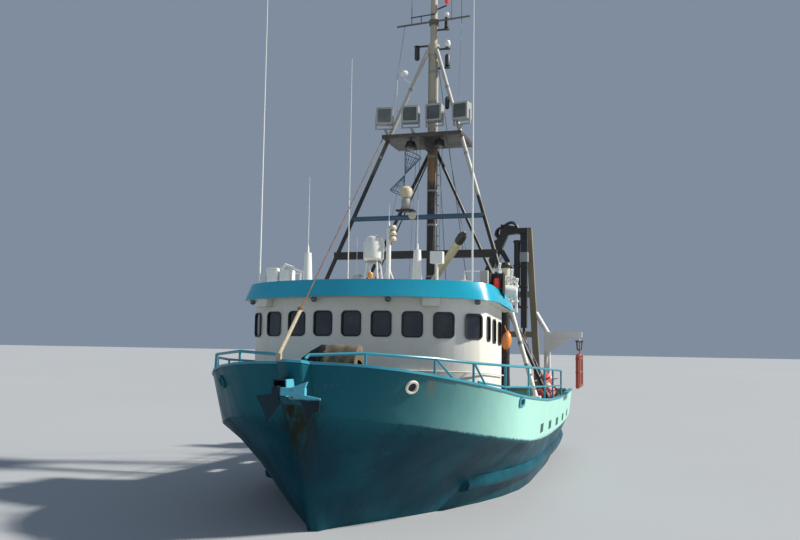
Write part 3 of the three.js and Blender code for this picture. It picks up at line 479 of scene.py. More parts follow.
@dataclass(frozen=True)
class Canvas(Finish):
    """Coated cloth with a plain weave, sun-bleached on its folds."""

    bleached: Colour
    threads: float = 260.0
    dark_side: float = -100.0

    def build(self) -> bpy.types.Material:
        """Weaves, creases and bleaches the cloth.

        Returns:
            The cloth's material, near black to starboard of dark_side.
        """
        shader = Shader(self.name)
        warp = self._threads(shader, "X")
        weft = self._threads(shader, "Z")
        worn = shader.noise(3.0, 7).step(0.4, 0.72)
        soil = shader.noise(7.0, 6).step(0.5, 0.75)
        creases = shader.noise(11.0, 5)
        colour = shader.mix(self.colour, self.bleached, worn)
        colour = shader.mix(colour, (0.05, 0.04, 0.03), soil * 0.5)
        # Near black to starboard of dark_side.
        starboard_black = 1 - (shader.axis("X") + creases * 0.2).step(self.dark_side, self.dark_side + 0.04)
        colour = shader.mix(colour, (0.004, 0.004, 0.005), starboard_black)
        normal = shader.bump(warp * weft, 0.0006, shader.bump(creases, 0.006))
        return shader.finish({"Base Color": colour, "Roughness": 0.8 - worn * 0.15, "Normal": normal})

    def _threads(self, shader: Shader, direction: str) -> Signal:
        """Returns one set of threads as ridges across a direction."""
        inputs = {"Vector": shader.place, "Scale": self.threads}
        return shader.node("ShaderNodeTexWave", {"bands_direction": direction}, inputs)


@dataclass(frozen=True)
class Moulded(Finish):
    """Moulded plastic, rubber or glass with a fine grain and a film of salt."""

    rough: float = 0.3
    salt: float = 0.3
    coat: float = 0.0
    glow: float = 0.0

    def build(self) -> bpy.types.Material:
        """Grains the surface and films it with salt.

        Returns:
            The moulding's material.
        """
        shader = Shader(self.name)
        film = shader.noise(2.5, 7).step(0.4, 0.75)
        pale = tuple(part + (0.6 - part) * 0.35 for part in self.colour)
        colour = shader.mix(self.colour, pale, film * self.salt)
        grain = shader.noise(140.0, 2)
        inputs: dict[str, object] = {
            "Base Color": colour,
            "Roughness": self.rough + film * (0.3 * self.salt),
            "Normal": shader.bump(grain, 0.0003),
            "Coat Weight": self.coat,
            "Coat Roughness": 0.06,
        }
        if self.glow:
            inputs["Emission Color"] = (*self.colour, 1.0)
            inputs["Emission Strength"] = self.glow
        return shader.finish(inputs)


# Painted shade: the hull's base teal and its faded tone are darker than the paint, to stand for the shade
# under the flare and knuckle.
SHADED_TEAL = (0.002, 0.042, 0.066)
SHADED_TEAL_FADED = (0.005, 0.082, 0.115)
ANCHOR_RUST = Stain(0.0, -8.3, 2.62, 2.5, 0.9, 1.0, (0.014, 0.014, 0.004))
FAIRLEAD_RUST = Stain(2.45, -7.15, 3.1, 0.6, 0.3, 0.4, (0.24, 0.15, 0.05))
HULL = Paint(
    "hull_paint",
    SHADED_TEAL,
    SHADED_TEAL_FADED,
    rough=0.36,
    rust=0.1,
    streaks=0.05,
    shine=0.12,
    dents=0.05,
    bands=(
        # Above the knuckle line, rising towards the bow, the hull's own lighter teal takes over from the
        # painted shade.
        Band(1.1, (0.005, 0.10, 0.135), 0.5, rise=0.009),
        # Painted sunlight: a pale turquoise band on the port bow's upper plating, growing brighter aft.
        Band(1.2, (0.36, 0.66, 0.57), 0.06, rise=0.0105, lit_ramp=(-8.3, -3.0), across=(-1.0, 1.0)),
    ),
    stains=(ANCHOR_RUST, FAIRLEAD_RUST),
    deck=(0.13, 0.17, 0.17),
)
TRIM = Paint(
    "trim_paint",
    (0.02, 0.24, 0.33),
    (0.05, 0.32, 0.40),
    rough=0.28,
    rust=0.14,
    streaks=0.15,
    slot="hull_paint",
)
# Painted light and shade: the anchor and hawse box are near black for the shade they hang in, and the light
# blue band on their port-side tops is painted sunlight on the palm and the box cheek.
ANCHOR_LIT_AND_SHADED = Paint(
    "anchor_paint",
    (0.002, 0.012, 0.02),
    (0.004, 0.03, 0.045),
    rust=0.3,
    streaks=0.0,
    shine=0.25,
    bands=(Band(2.78, (0.09, 0.42, 0.54), 0.05, across=(0.04, 0.08)),),
)
BROW = Paint("brow_paint", (0.012, 0.36, 0.52), (0.02, 0.40, 0.56), rough=0.16, rust=0.03, streaks=0.08)
BOTTOM = Paint("bottom_paint", (0.035, 0.04, 0.05), (0.07, 0.07, 0.075), rough=0.7, rust=0.5)
WHITE = Paint("house_paint", (0.82, 0.80, 0.74), (0.72, 0.69, 0.60), rough=0.38, rust=0.05, streaks=0.12)
BLACK = Paint("black_paint", (0.018, 0.018, 0.02), (0.04, 0.037, 0.035), rough=0.42, rust=0.22, streaks=0.1)
# Painted light: from 8.1 m up, the port leg is pale khaki, its upper paint as it looks in sunlight.
LEG_PORT_WITH_SUNLIT_BAND = Paint(
    "leg_paint_port",
    (0.70, 0.68, 0.62),
    (0.55, 0.52, 0.45),
    rust=0.2,
    bands=(Band(5.9, (0.02, 0.02, 0.022)), Band(8.1, (0.46, 0.45, 0.40), 0.3)),
)
# Painted shade: from 8.9 m up, the starboard leg is dark grey, the same upper paint in shade, turning khaki
# above 10.2 m.
LEG_STBD_WITH_SHADED_BAND = Paint(
    "leg_paint_stbd",
    (0.022, 0.021, 0.022),
    (0.04, 0.036, 0.034),
    rust=0.25,
    bands=(Band(8.9, (0.10, 0.09, 0.075), 0.4), Band(10.2, (0.46, 0.44, 0.37), 0.15)),
)
MAST = Paint(
    "mast_paint",
    (0.02, 0.02, 0.022),
    (0.035, 0.032, 0.03),
    rust=0.35,
    bands=(Band(8.7, (0.27, 0.17, 0.08), 0.5), Band(10.1, (0.42, 0.38, 0.29), 0.2)),
)
POST = Paint("post_paint", (0.23, 0.19, 0.12), (0.3, 0.26, 0.18), rust=0.5, streaks=0.5)
CREAM = Paint("cream_paint", (0.62, 0.55, 0.38), (0.52, 0.46, 0.33), rust=0.15, streaks=0.3)
STACK = Paint(
    "stack_paint", (0.02, 0.02, 0.022), (0.04, 0.04, 0.04), rust=0.3, bands=(Band(4.7, (0.66, 0.62, 0.50)),)
)
GREY = Paint("grey_paint", (0.26, 0.27, 0.27), (0.36, 0.36, 0.34), rough=0.55, rust=0.3, streaks=0.3)
LAMP_CASE = Paint(
    "lamp_case", (0.34, 0.35, 0.34), (0.45, 0.45, 0.42), rough=0.5, rust=0.1, streaks=0.2, slot="grey_paint"
)
PLATFORM = Paint(
    "platform_paint",
    (0.05, 0.05, 0.045),
    (0.09, 0.085, 0.07),
    rust=0.4,
    bands=(Band(10.3, (0.34, 0.35, 0.33), 0.02),),
)
YARD = Paint("yard_paint", (0.09, 0.085, 0.08), (0.16, 0.14, 0.12), rust=0.4)
SPREADER = Paint("spreader_paint", (0.04, 0.09, 0.16), (0.06, 0.14, 0.2), rust=0.2)
DOOR_RED = Paint("board_paint", (0.36, 0.06, 0.045), (0.42, 0.10, 0.07), rough=0.6, rust=0.5, streaks=0.5)
STEEL = Metal("bare_steel", (0.42, 0.41, 0.39))
RUSTED = Metal("rusted_steel", (0.30, 0.22, 0.15), rough=0.6, rust=0.9, slot="bare_steel")
BRONZE = Metal("bronze", (0.55, 0.38, 0.17), rough=0.3, rust=0.0)
WIRE = Strand("wire_rope", (0.24, 0.12, 0.06), (0.08, 0.04, 0.02), pitch=90, metallic=0.4, rough=0.6)
STAY = Strand("stay_wire", (0.30, 0.15, 0.08), (0.11, 0.055, 0.03), low_end=Band(4.5, (0.60, 0.54, 0.40)))
GREY_WIRE = Strand(
    "grey_wire", (0.2, 0.2, 0.2), (0.05, 0.05, 0.05), pitch=90, metallic=0.5, rough=0.5, slot="wire_rope"
)
BLUE_WIRE = Strand("blue_wire", (0.10, 0.19, 0.26), (0.05, 0.10, 0.15), pitch=90, rough=0.6, slot="wire_rope")
NET = Strand("net_twine", (0.05, 0.16, 0.09), (0.015, 0.05, 0.035), pitch=26)
TARP = Canvas("tarpaulin", (0.12, 0.095, 0.06), (0.20, 0.165, 0.11), dark_side=0.14)
PLASTIC = Moulded("white_plastic", (0.78, 0.78, 0.74), rough=0.25, coat=0.3)
GLASS = Moulded("window_glass", (0.008, 0.012, 0.016), rough=0.06, salt=0.12, coat=1.0, slot="white_plastic")
LENS = Moulded("lamp_glass", (0.06, 0.075, 0.07), rough=0.2, salt=0.35, coat=0.6, slot="white_plastic")
SEAL = Moulded("window_seal", (0.012, 0.012, 0.013), rough=0.55, salt=0.1, slot="black_paint")
HOSE = Moulded("hose_rubber", (0.014, 0.014, 0.016), rough=0.4, salt=0.25, slot="black_paint")
GREY_SLEEVE = Moulded("grey_sleeve", (0.30, 0.32, 0.35), rough=0.45, slot="grey_paint")
RED_LENS = Moulded("red_lens", (0.55, 0.02, 0.015), rough=0.12, coat=1.0, glow=0.25, slot="white_plastic")
GREEN_LENS = Moulded("green_lens", (0.01, 0.30, 0.12), rough=0.12, coat=1.0, glow=0.15, slot="white_plastic")
AMBER_LENS = Moulded("amber_lens", (0.75, 0.28, 0.02), rough=0.15, coat=1.0, slot="white_plastic")
RED_FLOAT = Moulded("red_float", (0.62, 0.05, 0.035), rough=0.38, salt=0.4, slot="trawl_board")
PINK_FLOAT = Moulded("pink_float", (0.80, 0.30, 0.26), rough=0.4, salt=0.5, slot="white_plastic")
ORANGE_FLOAT = Moulded("orange_float", (0.80, 0.24, 0.03), rough=0.42, salt=0.3, slot="trawl_board")


# Mesh making


def rounded_outline(width: float, height: float, radius: float, steps: int = 5) -> list[tuple[float, float]]:
    """Draws a rounded rectangle about its middle, anticlockwise.

    Args:
        width: Its width.
        height: Its height.
        radius: The radius of its corners.
        steps: How many flats a corner has.

    Returns:
        Its points.
    """
    points = []
    for corner, (side, up) in enumerate(((1, -1), (1, 1), (-1, 1), (-1, -1))):
        for step in range(steps + 1):
            turn = math.radians(-90 + 90 * corner + 90 * step / steps)
            points.append(
                (
                    side * (width / 2 - radius) + radius * math.cos(turn),
                    up * (height / 2 - radius) + radius * math.sin(turn),
                )
            )
    return points


def turns(count: int) -> list[float]:
    """Returns the angles that divide a full turn."""
    return [2 * math.pi * n / count for n in range(count)]


def ring(middle: Vector, normal: Vector, side: Vector, radius: float, count: int) -> list[Vector]:
    """Returns the points of a circle in the plane of two directions."""
    return [middle + (normal * math.cos(t) + side * math.sin(t)) * radius for t in turns(count)]


def arc(start: Point, middle: Point, end: Point, steps: int = 12) -> list[Point]:
    """Draws a smooth curve.

    Args:
        start: Its start.
        middle: The place that pulls it aside.
        end: Its end.
        steps: How many flats it has.

    Returns:
        Its points.
    """
    a, b, c = Vector(start), Vector(middle), Vector(end)
    spots = []
    for step in range(steps + 1):
        t = step / steps
        spots.append(tuple(a * (1 - t) ** 2 + b * 2 * t * (1 - t) + c * t * t))
    return spots


def staple(half: float, rise: Pairs) -> list[Point]:
    """Returns the path of a staple: up one side through (y, z) pairs, and down the other."""
    return [(-half, y, z) for y, z in rise] + [(half, y, z) for y, z in reversed(rise)]


@dataclass
class Seat:
    """A flat place on a surface: its middle, its two directions and its outward normal."""

    middle: Vector
    across: Vector
    up: Vector
    out: Vector

    @classmethod
    def facing(cls, middle: Sequence[float], out: Sequence[float]) -> "Seat":
        """Makes an upright seat.

        Args:
            middle: Its place.
            out: The direction that it faces.

        Returns:
            The seat.
        """
        normal = Vector(out).normalized()
        across = Vector(UP).cross(normal).normalized()
        return cls(Vector(middle), across, normal.cross(across), normal)

    def at(self, across: float, up: float, out: float = 0.0) -> Vector:
        """Returns a point by its distances in the seat's own directions."""
        return self.middle + self.across * across + self.up * up + self.out * out

    def moved(self, across: float, up: float, out: float = 0.0) -> "Seat":
        """Returns the seat moved by distances in its own directions."""
        return Seat(self.at(across, up, out), self.across, self.up, self.out)


@dataclass
class Form:
    """A mesh under construction: simple solids are added, and it ends as one named piece."""

    points: list[Vector] = field(default_factory=list)
    faces: list[tuple[int, ...]] = field(default_factory=list)

    def add(self, points: Iterable[Sequence[float]], faces: Iterable[Sequence[int]]) -> None:
        """Adds a mesh.

        Args:
            points: Its points.
            faces: Its faces, counting from the first of its points.
        """
        base = len(self.points)
        self.points += [Vector(point) for point in points]
        self.faces += [tuple(base + index for index in face) for face in faces]

    def loft(self, sections: Sequence[Path], closed: bool = False) -> None:
        """Adds a body through sections, capped unless it closes on itself.

        Args:
            sections: Rings of equal count.
            closed: Whether the last joins the first.
        """
        count = len(sections[0])
        faces: list[Sequence[int]] = []
        rings = len(sections)
        for s in range(rings if closed else rings - 1):
            for k in range(count):
                a, b = s * count, ((s + 1) % rings) * count
                faces.append((a + k, a + (k + 1) % count, b + (k + 1) % count, b + k))
        if not closed:
            faces.append(tuple(reversed(range(count))))
            faces.append(tuple((rings - 1) * count + k for k in range(count)))
        self.add([point for section in sections for point in section], faces)

    def tube(
        self, path: Path, radius: float | Sequence[float], sides: int = 10, closed: bool = False
    ) -> None:
        """Adds a round tube along a path.

        Args:
            path: The points of its middle line.
            radius: One radius, or one for each point.
            sides: How many flats go round it.
            closed: Whether the path runs back into its start.
        """
        spots = [Vector(point) for point in path]
        radii = [radius] * len(spots) if isinstance(radius, (int, float)) else list(radius)
        last = len(spots) - 1
        headings = []
        for k in range(len(spots)):
            before = spots[k - 1] if (k > 0 or closed) else spots[k]
            after = spots[(k + 1) % len(spots)] if (k < last or closed) else spots[k]
            headings.append((after - before).normalized())
        normal = headings[0].orthogonal().normalized()
        sections = []
        for spot, heading, size in zip(spots, headings, radii):
            normal = (normal - heading * normal.dot(heading)).normalized()
            side = heading.cross(normal)
            sections.append(ring(spot, normal, side, size, sides))
        self.loft(sections, closed)

    def lathe(
        self,
        profile: Pairs,
        base: Sequence[float],
        axis: Sequence[float] = UP,
        sides: int = 24,
        closed: bool = False,
    ) -> None:
        """Adds a turned body.

        Args:
            profile: Pairs of radius and height.
            base: Where the height is 0.
            axis: The direction of the height.
            sides: How many flats go round it.
            closed: Whether the profile runs back into its start.
        """
        heading = Vector(axis).normalized()
        normal = heading.orthogonal().normalized()
        side = heading.cross(normal)
        foot = Vector(base)
        rings = [ring(foot + heading * high, normal, side, max(size, 1e-4), sides) for size, high in profile]
        self.loft(rings, closed)

    def collar(
        self,
        inner: float,
        outer: float,
        half: float,
        base: Sequence[float],
        axis: Sequence[float] = UP,
        sides: int = 24,
    ) -> None:
        """Adds a band round an axis.

        Args:
            inner: Its inner radius.
            outer: Its outer radius.
            half: Half its height.
            base: Its middle.
            axis: The axis.
            sides: How many flats go round it.
        """
        self.lathe([(inner, -half), (outer, -half), (outer, half), (inner, half)], base, axis, sides)

    def box(self, low: Sequence[float], high: Sequence[float], bevel: float = 0.006) -> None:
        """Adds an upright box with rounded edges.

        Args:
            low: Its lowest corner.
            high: Its highest corner.
            bevel: The edges' rounding.
        """
        middle = (Vector(low) + Vector(high)) / 2
        seat = Seat(middle, Vector((1, 0, 0)), Vector((0, 0, 1)), Vector((0, -1, 0)))
        size = Vector(high) - Vector(low)
        self.block(seat, size.x, size.z, size.y, bevel)

    def block(self, seat: Seat, width: float, height: float, depth: float, bevel: float = 0.006) -> None:
        """Adds a box with rounded edges, centred on a seat.

        Args:
            seat: The seat.
            width: Its size across the seat.
            height: Its size up the seat.
            depth: Its size out of the seat.
            bevel: The edges' rounding.
        """
        work = bmesh.new()
        bmesh.ops.create_cube(work, size=1.0)
        for vert in work.verts:
            vert.co = Vector((vert.co.x * width, vert.co.y * depth, vert.co.z * height))
        bevel = min(bevel, 0.4 * min(width, height, depth))
        bmesh.ops.bevel(work, geom=work.edges[:], offset=bevel, segments=2, profile=0.5, affect="EDGES")
        work.verts.index_update()
        spots = [seat.at(vert.co.x, vert.co.z, -vert.co.y) for vert in work.verts]
        self.add(spots, [[vert.index for vert in face.verts] for face in work.faces])
        work.free()

    def slab(self, seat: Seat, outline: Pairs, low: float, high: float) -> None:
        """Adds a flat slab of that outline, between two heights above the seat."""
        self.loft([[seat.at(u, v, out) for u, v in outline] for out in (low, high)])

    def frame(self, seat: Seat, outer: Pairs, inner: Pairs, low: float, high: float) -> None:
        """Adds a frame between two outlines.

        Args:
            seat: The seat that it lies on.
            outer: Its outer outline.
            inner: Its inner outline, of equal count.
            low: Where it starts over the seat.
            high: Where it ends over the seat.
        """
        section = [
            [seat.at(*a, low), seat.at(*a, high), seat.at(*b, high), seat.at(*b, low)]
            for a, b in zip(outer, inner)
        ]
        self.loft(section, closed=True)

    def piece(
        self, name: str, finish: Finish, body: str = "boat", slot: str = "", crease: float = 35.0
    ) -> bpy.types.Object:
        """Makes the piece.

        Args:
            name: Its name.
            finish: What it is covered with.
            body: The CAD body that it rides on.
            slot: The record's material slot, where the finish's own isn't meant; not used.
            crease: Edges sharper than this many degrees stay sharp.

        Returns:
            The new object.
        """
        mesh = bpy.data.meshes.new(name)
        mesh.from_pydata(self.points, [], self.faces)
        work = bmesh.new()
        work.from_mesh(mesh)
        bmesh.ops.recalc_face_normals(work, faces=work.faces[:])
        work.to_mesh(mesh)
        work.free()
        mesh.polygons.foreach_set("use_smooth", [True] * len(mesh.polygons))
        mesh.set_sharp_from_angle(angle=math.radians(crease))
        mesh.materials.append(finish.material())
        made = bpy.data.objects.new(name, mesh)
        bpy.context.scene.collection.objects.link(made)
        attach(made, body)
        LOG.info("piece %s: %d faces on %s", name, len(mesh.polygons), body)
        return made


@cache
def surface_of(node: str) -> BVHTree:
    """Returns a CAD node's surface for finding places on it."""
    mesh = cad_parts[node].data
    return BVHTree.FromPolygons([v.co for v in mesh.vertices], [p.vertices[:] for p in mesh.polygons])


def seat_on(node: str, near: Point) -> Seat:
    """Returns the seat on a CAD node's surface that is nearest to a point."""
    spot, normal, _, _ = surface_of(node).find_nearest(Vector(near))
    return Seat.facing(spot, normal)


# The scene around the boat


@dataclass
class Studio:
    """The pale floor at the waterline, soft lights, and the camera."""

    reach: float = 260.0
    place: Point = (6.725, -23.279, 3.9)
    yaw: float = math.radians(17.216)
    pitch: float = math.radians(4.965)
    roll: float = math.radians(0.8)
    focal: float = 820.0
    width: float = 800.0
    sensor: float = 36.0

    def build(self) -> None:
        """Makes the floor, the world, the lights and the camera."""
        bpy.context.scene.view_settings.view_transform = "Standard"
        self._floor()
        self._world()
        self._lights()
        self._camera()

    def _floor(self) -> None:
        """Lays the floor plane."""
        mesh = bpy.data.meshes.new("floor")
        r = self.reach
        mesh.from_pydata([(-r, -r, 0), (r, -r, 0), (r, r, 0), (-r, r, 0)], [], [(0, 1, 2, 3)])
        shader = Shader("studio_floor")
        tone = shader.mix((0.36, 0.38, 0.40), (0.40, 0.42, 0.44), shader.noise(0.05, 3))
        mesh.materials.append(shader.finish({"Base Color": tone, "Roughness": 0.85}))
        floor = bpy.data.objects.new("floor", mesh)
        bpy.context.scene.collection.objects.link(floor)

    def _world(self) -> None:
        """Sets a pale, even surrounding."""
        world = bpy.data.worlds.new("studio_air")
        world.use_nodes = True
        background = world.node_tree.nodes["Background"]
        background.inputs["Color"].default_value = (0.56, 0.70, 0.90, 1)
        background.inputs["Strength"].default_value = 0.38
        bpy.context.scene.world = world

    def _lights(self) -> None:
        """Sets a broad key light from high on the port quarter and a weak fill from ahead."""
        for name, toward, energy, spread, tint in (
            ("key", (-0.755, -0.226, -0.616), 5.6, 4.0, (1.0, 0.95, 0.87)),
            ("fill", (-0.25, 1.0, -0.45), 0.16, 40.0, (0.86, 0.93, 1.0)),
        ):
            light = bpy.data.lights.new(name, "SUN")
            light.energy = energy
            light.angle = math.radians(spread)
            light.color = tint
            lamp = bpy.data.objects.new(name, light)
            lamp.rotation_euler = Vector(toward).to_track_quat("-Z", "Y").to_euler()
            lamp.location = (0, 0, 30)
            bpy.context.scene.collection.objects.link(lamp)

    def _camera(self) -> None:
        """Sets the camera at the photograph's viewing angle."""
        ahead = Vector((-math.sin(self.yaw), math.cos(self.yaw), 0))
        right = Vector((math.cos(self.yaw), math.sin(self.yaw), 0))
        view = ahead * math.cos(self.pitch) + Vector((0, 0, math.sin(self.pitch)))
        up = Vector((0, 0, math.cos(self.pitch))) - ahead * math.sin(self.pitch)
        rolled_right = right * math.cos(self.roll) + up * math.sin(self.roll)
        rolled_up = up * math.cos(self.roll) - right * math.sin(self.roll)
        data = bpy.data.cameras.new("camera")
        data.sensor_width = self.sensor
        data.lens = self.focal * self.sensor / self.width
        data.clip_end = 1000
        camera = bpy.data.objects.new("camera", data)
        turn = Matrix((rolled_right, rolled_up, -view)).transposed().to_4x4()
        camera.matrix_world = Matrix.Translation(Vector(self.place)) @ turn
        bpy.context.scene.collection.objects.link(camera)
        bpy.context.scene.camera = camera


CARRIED: dict[Finish, str] = {
    HULL: "hull bulwark stern_bulwark guard_port guard_stbd",
    TRIM: "cap_rail rail_port rail_stbd hatch_coaming hatch_lid",
    BROW: "brow",
    BOTTOM: "keel rudder",
    BRONZE: "propeller",
    WHITE: "house_walls house_roof house_aft_wall house_door gallows_port gallows_stbd",
    GREY: "house_floor winch_frame net_drum_stand",
    BLACK: "helm_console windlass bitts mast_stay_leg_port mast_stay_leg_stbd mast_cross_beam "
    "derrick_gooseneck crane_pedestal crane_column crane_boom crane_jib",
    YARD: "masthead_yard",
    STEEL: "stern_roller winch_drum_port winch_drum_stbd",
    TARP: "windlass_cover",
    ANCHOR_LIT_AND_SHADED: "stem_roller anchor",
    MAST: "mast",
    LEG_PORT_WITH_SUNLIT_BAND: "mast_leg_port",
    LEG_STBD_WITH_SHADED_BAND: "mast_leg_stbd",
    PLATFORM: "mast_platform",
    SPREADER: "mast_spreader",
    STAY: "forestay",
    CREAM: "derrick_boom",
    POST: "gantry",
    DOOR_RED: "trawl_door_port trawl_door_stbd",
    NET: "net_drum",
    PLASTIC: "roof_antennas whip_port whip_stbd raft_canister",
    STACK: "exhaust",
}


@dataclass
class Carried:
    """The CAD nodes that show as they are, and the finish of each."""

    crease: float = 32.0
    plate_crease: float = 58.0

    def build(self) -> None:
        """Dresses each node and smooths its gentle edges."""
        for name, finish in ((name, finish) for finish, names in CARRIED.items() for name in names.split()):
            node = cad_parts[name]
            mesh = node.data
            mesh.materials.clear()
            mesh.materials.append(finish.material())
            if "custom_normal" in mesh.attributes:
                mesh.attributes.remove(mesh.attributes["custom_normal"])
            mesh.polygons.foreach_set("use_smooth", [True] * len(mesh.polygons))
            weld = node.modifiers.new("weld", "WELD")
            weld.merge_threshold = 1e-5
            split = node.modifiers.new("crease", "EDGE_SPLIT")
            split.split_angle = math.radians(self.plate_crease if finish is HULL else self.crease)
            LOG.info("carried node %s in %s", name, finish.name)


# The house


@dataclass
class HouseLines:
    """The house wall seen from above, as the CAD draws it."""

    front: float = -5.36
    half: float = 2.97
    corner: float = 1.115
    back: float = -2.25
    slope: float = 0.061
    steps: int = 12

    def half_outline(self) -> list[tuple[float, float]]:
        """Draws the port half, from the middle of the front to the back corner.

        Returns:
            Its points.
        """
        turns = [math.pi / 2 * k / self.steps for k in range(self.steps + 1)]
        points = [(self.half * math.sin(t), self.front + self.corner * (1 - math.cos(t))) for t in turns]
        return [*points, (self.half, self.back)]

    def drop(self, z: float, y: float) -> float:
        """Returns a height that falls aft with the roof."""
        return z - self.slope * (y - self.front)

    def seat_along(self, distance: float, z: float, side: Side) -> Seat:
        """Finds a place on the wall.

        Args:
            distance: How far along the wall it is from the middle of the front.
            z: Its height, at the front.
            side: Its side of the boat.

        Returns:
            The seat there.
        """
        path = self.half_outline()
        left = distance
        k = 0
        while left > math.dist(path[k], path[k + 1]) and k < len(path) - 2:
            left -= math.dist(path[k], path[k + 1])
            k += 1
        (x0, y0), (x1, y1) = path[k], path[k + 1]
        part = left / math.dist(path[k], path[k + 1])
        x, y = x0 + (x1 - x0) * part, y0 + (y1 - y0) * part
        out = (side.value * (y1 - y0), x0 - x1, 0) if distance > 0 else (0, -1, 0)
        return Seat.facing((side.value * x, y, self.drop(z, y)), out)


@dataclass
class Windows:
    """The wheelhouse windows: dark glass in black rubber, each in its opening in the wall."""

    lines: HouseLines = field(default_factory=HouseLines)
    width: float = 0.455
    height: float = 0.56
    radius: float = 0.095
    centre: float = 4.30
    pitch: float = 0.725
    each: int = 7
    seal: float = 0.022
    aft_width: float = 0.8
    aft_height: float = 0.48

    def seats(self) -> list[Seat]:
        """Finds the windows round the house.

        Returns:
            Their seats.
        """
        found = [self.lines.seat_along(0, self.centre, Side.PORT)]
        for n in range(1, self.each + 1):
            for side in Side:
                found.append(self.lines.seat_along(n * self.pitch, self.centre, side))
        return found

    def build(self) -> None:
        """Makes the glass and its seals."""
        glass, seals = Form(), Form()
        for seat in self.seats():
            self._pane(glass, seals, seat, self.width, self.height)
        for side in Side:
            x = side.value * 1.5
            seat = Seat.facing((x, self.lines.back, self.lines.drop(4.25, self.lines.back)), AFT)
            self._pane(glass, seals, seat, self.aft_width, self.aft_height)
        glass.piece("window_glass", GLASS)
        seals.piece("window_seals", SEAL)

    def _pane(self, glass: Form, seals: Form, seat: Seat, width: float, height: float) -> None:
        """Adds one pane and its seal.

        Args:
            glass: The form that takes the pane.
            seals: The form that takes the seal.
            seat: The window's seat.
            width: Its width.
            height: Its height.
        """
        pane = rounded_outline(width - 0.004, height - 0.004, self.radius)
        glass.slab(seat, pane, -0.035, -0.022)
        outer = rounded_outline(width + 2 * self.seal, height + 2 * self.seal, self.radius + self.seal)
        lip = rounded_outline(width - 0.03, height - 0.03, self.radius - 0.015)
        seals.frame(seat, outer, lip, 0.001, 0.012)
        inside = rounded_outline(width - 0.002, height - 0.002, self.radius)
        seals.frame(seat, inside, lip, -0.02, 0.002)


@dataclass
class HouseTrim:
    """Small fittings of the house: vents and lamps under the brow, side lights, door fittings, hand rail."""

    lines: HouseLines = field(default_factory=HouseLines)
    rail_height: float = 3.25
    side_lamp: Pairs = (
        (0.02, 0),
        (0.085, 0.01),
        (0.09, 0.05),
        (0.08, 0.2),
        (0.085, 0.22),
        (0.05, 0.25),
        (0, 0.255),
    )
    soffit_lamp: Pairs = ((0.05, 0.05), (0.075, 0.03), (0.07, -0.03), (0.03, -0.06))
    dog: Pairs = ((0.03, 0.0), (0.03, 0.02), (0.015, 0.03), (0.015, 0.05))

    def build(self) -> None:
        """Makes the fittings."""
        self._vents()
        self._side_lights()
        self._grab_rails()
        self._door()
        self._roof_edge()

    def _vents(self) -> None:
        """Makes the two boxes under the brow."""
        vents = Form()
        for distance, side in ((2.42, Side.STARBOARD), (1.86, Side.PORT)):
            seat = self.lines.seat_along(distance, 4.84, side)
            seat = seat.moved(0, 0, 0.09)
            vents.block(seat, 0.4, 0.24, 0.2, 0.02)
            vents.block(seat.moved(0, 0.01, 0.1), 0.3, 0.14, 0.02, 0.006)
        vents.piece("brow_vents", WHITE)

    def _side_lights(self) -> None:
        """Makes the red and green lights in their black boxes, and the pipe frame beside them."""
        for side, lens in ((Side.PORT, RED_LENS), (Side.STARBOARD, GREEN_LENS)):
            x = side.value * 3.03
            screens, lamp, rails = Form(), Form(), Form()
            screens.box((x - 0.17, -3.12, 4.98), (x + 0.17, -3.08, 5.62), 0.008)
            for edge in (x - 0.17, x + 0.17):
                screens.box((edge - 0.015, -3.36, 5.1), (edge + 0.015, -3.09, 5.62), 0.008)
            screens.box((x - 0.17, -3.36, 5.2), (x + 0.17, -3.09, 5.24), 0.006)
            lamp.lathe(self.side_lamp, (x, -3.24, 5.235))
            near, far = x - side.value * 0.8, x - side.value * 0.24
            path = [(near, -3.3, 4.92), (near, -3.3, 5.66), (far, -3.3, 5.66), (far, -3.3, 4.92)]
            rails.tube(path, 0.022, 8)
            rails.tube([(near, -3.3, 5.3), (far, -3.3, 5.3)], 0.018, 8)
            screens.piece(f"side_screen_{side.label}", BLACK)
            lamp.piece(f"side_light_{side.label}", lens)
            rails.piece(f"side_light_rail_{side.label}", PLASTIC)

    def _grab_rails(self) -> None:
        """Makes the hand rail round the front of the house."""
        rails = Form()
        for side in Side:
            path = []
            for n in range(3, 26):
                seat = self.lines.seat_along(0.21 * n, self.rail_height, side)
                path.append(seat.at(0, 0, 0.07))
                if n % 5 == 3:
                    rails.tube([seat.at(0, 0, -0.01), seat.at(0, 0, 0.07)], 0.012, 8)
            rails.tube(path, 0.016, 8)
        rails.piece("house_grab_rails", WHITE)

    def _door(self) -> None:
        """Makes the door's port light, handle and dogs."""
        low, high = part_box("house_door")
        middle = ((low.x + high.x) / 2 - 0.02, high.y, low.z + 1.25)
        seat = Seat.facing(middle, AFT)
        ring, pane, dogs = Form(), Form(), Form()
        outer = rounded_outline(0.32, 0.32, 0.159, 8)
        inner = rounded_outline(0.24, 0.24, 0.119, 8)
        ring.frame(seat, outer, inner, -0.002, 0.022)
        pane.slab(seat, inner, 0.001, 0.008)
        ring.piece("door_light_ring", STEEL, "house_door")
        pane.piece("door_light", GLASS, "house_door")
        for up in (-0.9, -0.35, 0.35):
            dogs.lathe(self.dog, seat.at(-0.3, up), seat.out, 12)
            dogs.tube([seat.at(-0.3, up, 0.05), seat.at(-0.18, up + 0.05, 0.055)], 0.011, 8)
        dogs.piece("door_dogs", STEEL, "house_door")

    def _roof_edge(self) -> None:
        """Makes the lamps under the brow."""
        lamps = Form()
        for distance in (0.9, 2.9):
            for side in Side:
                seat = self.lines.seat_along(distance, 4.86, side)
                lamps.lathe(self.soffit_lamp, seat.at(0, 0, 0.14), UP, 16)
        lamps.piece("soffit_lamps", LENS)


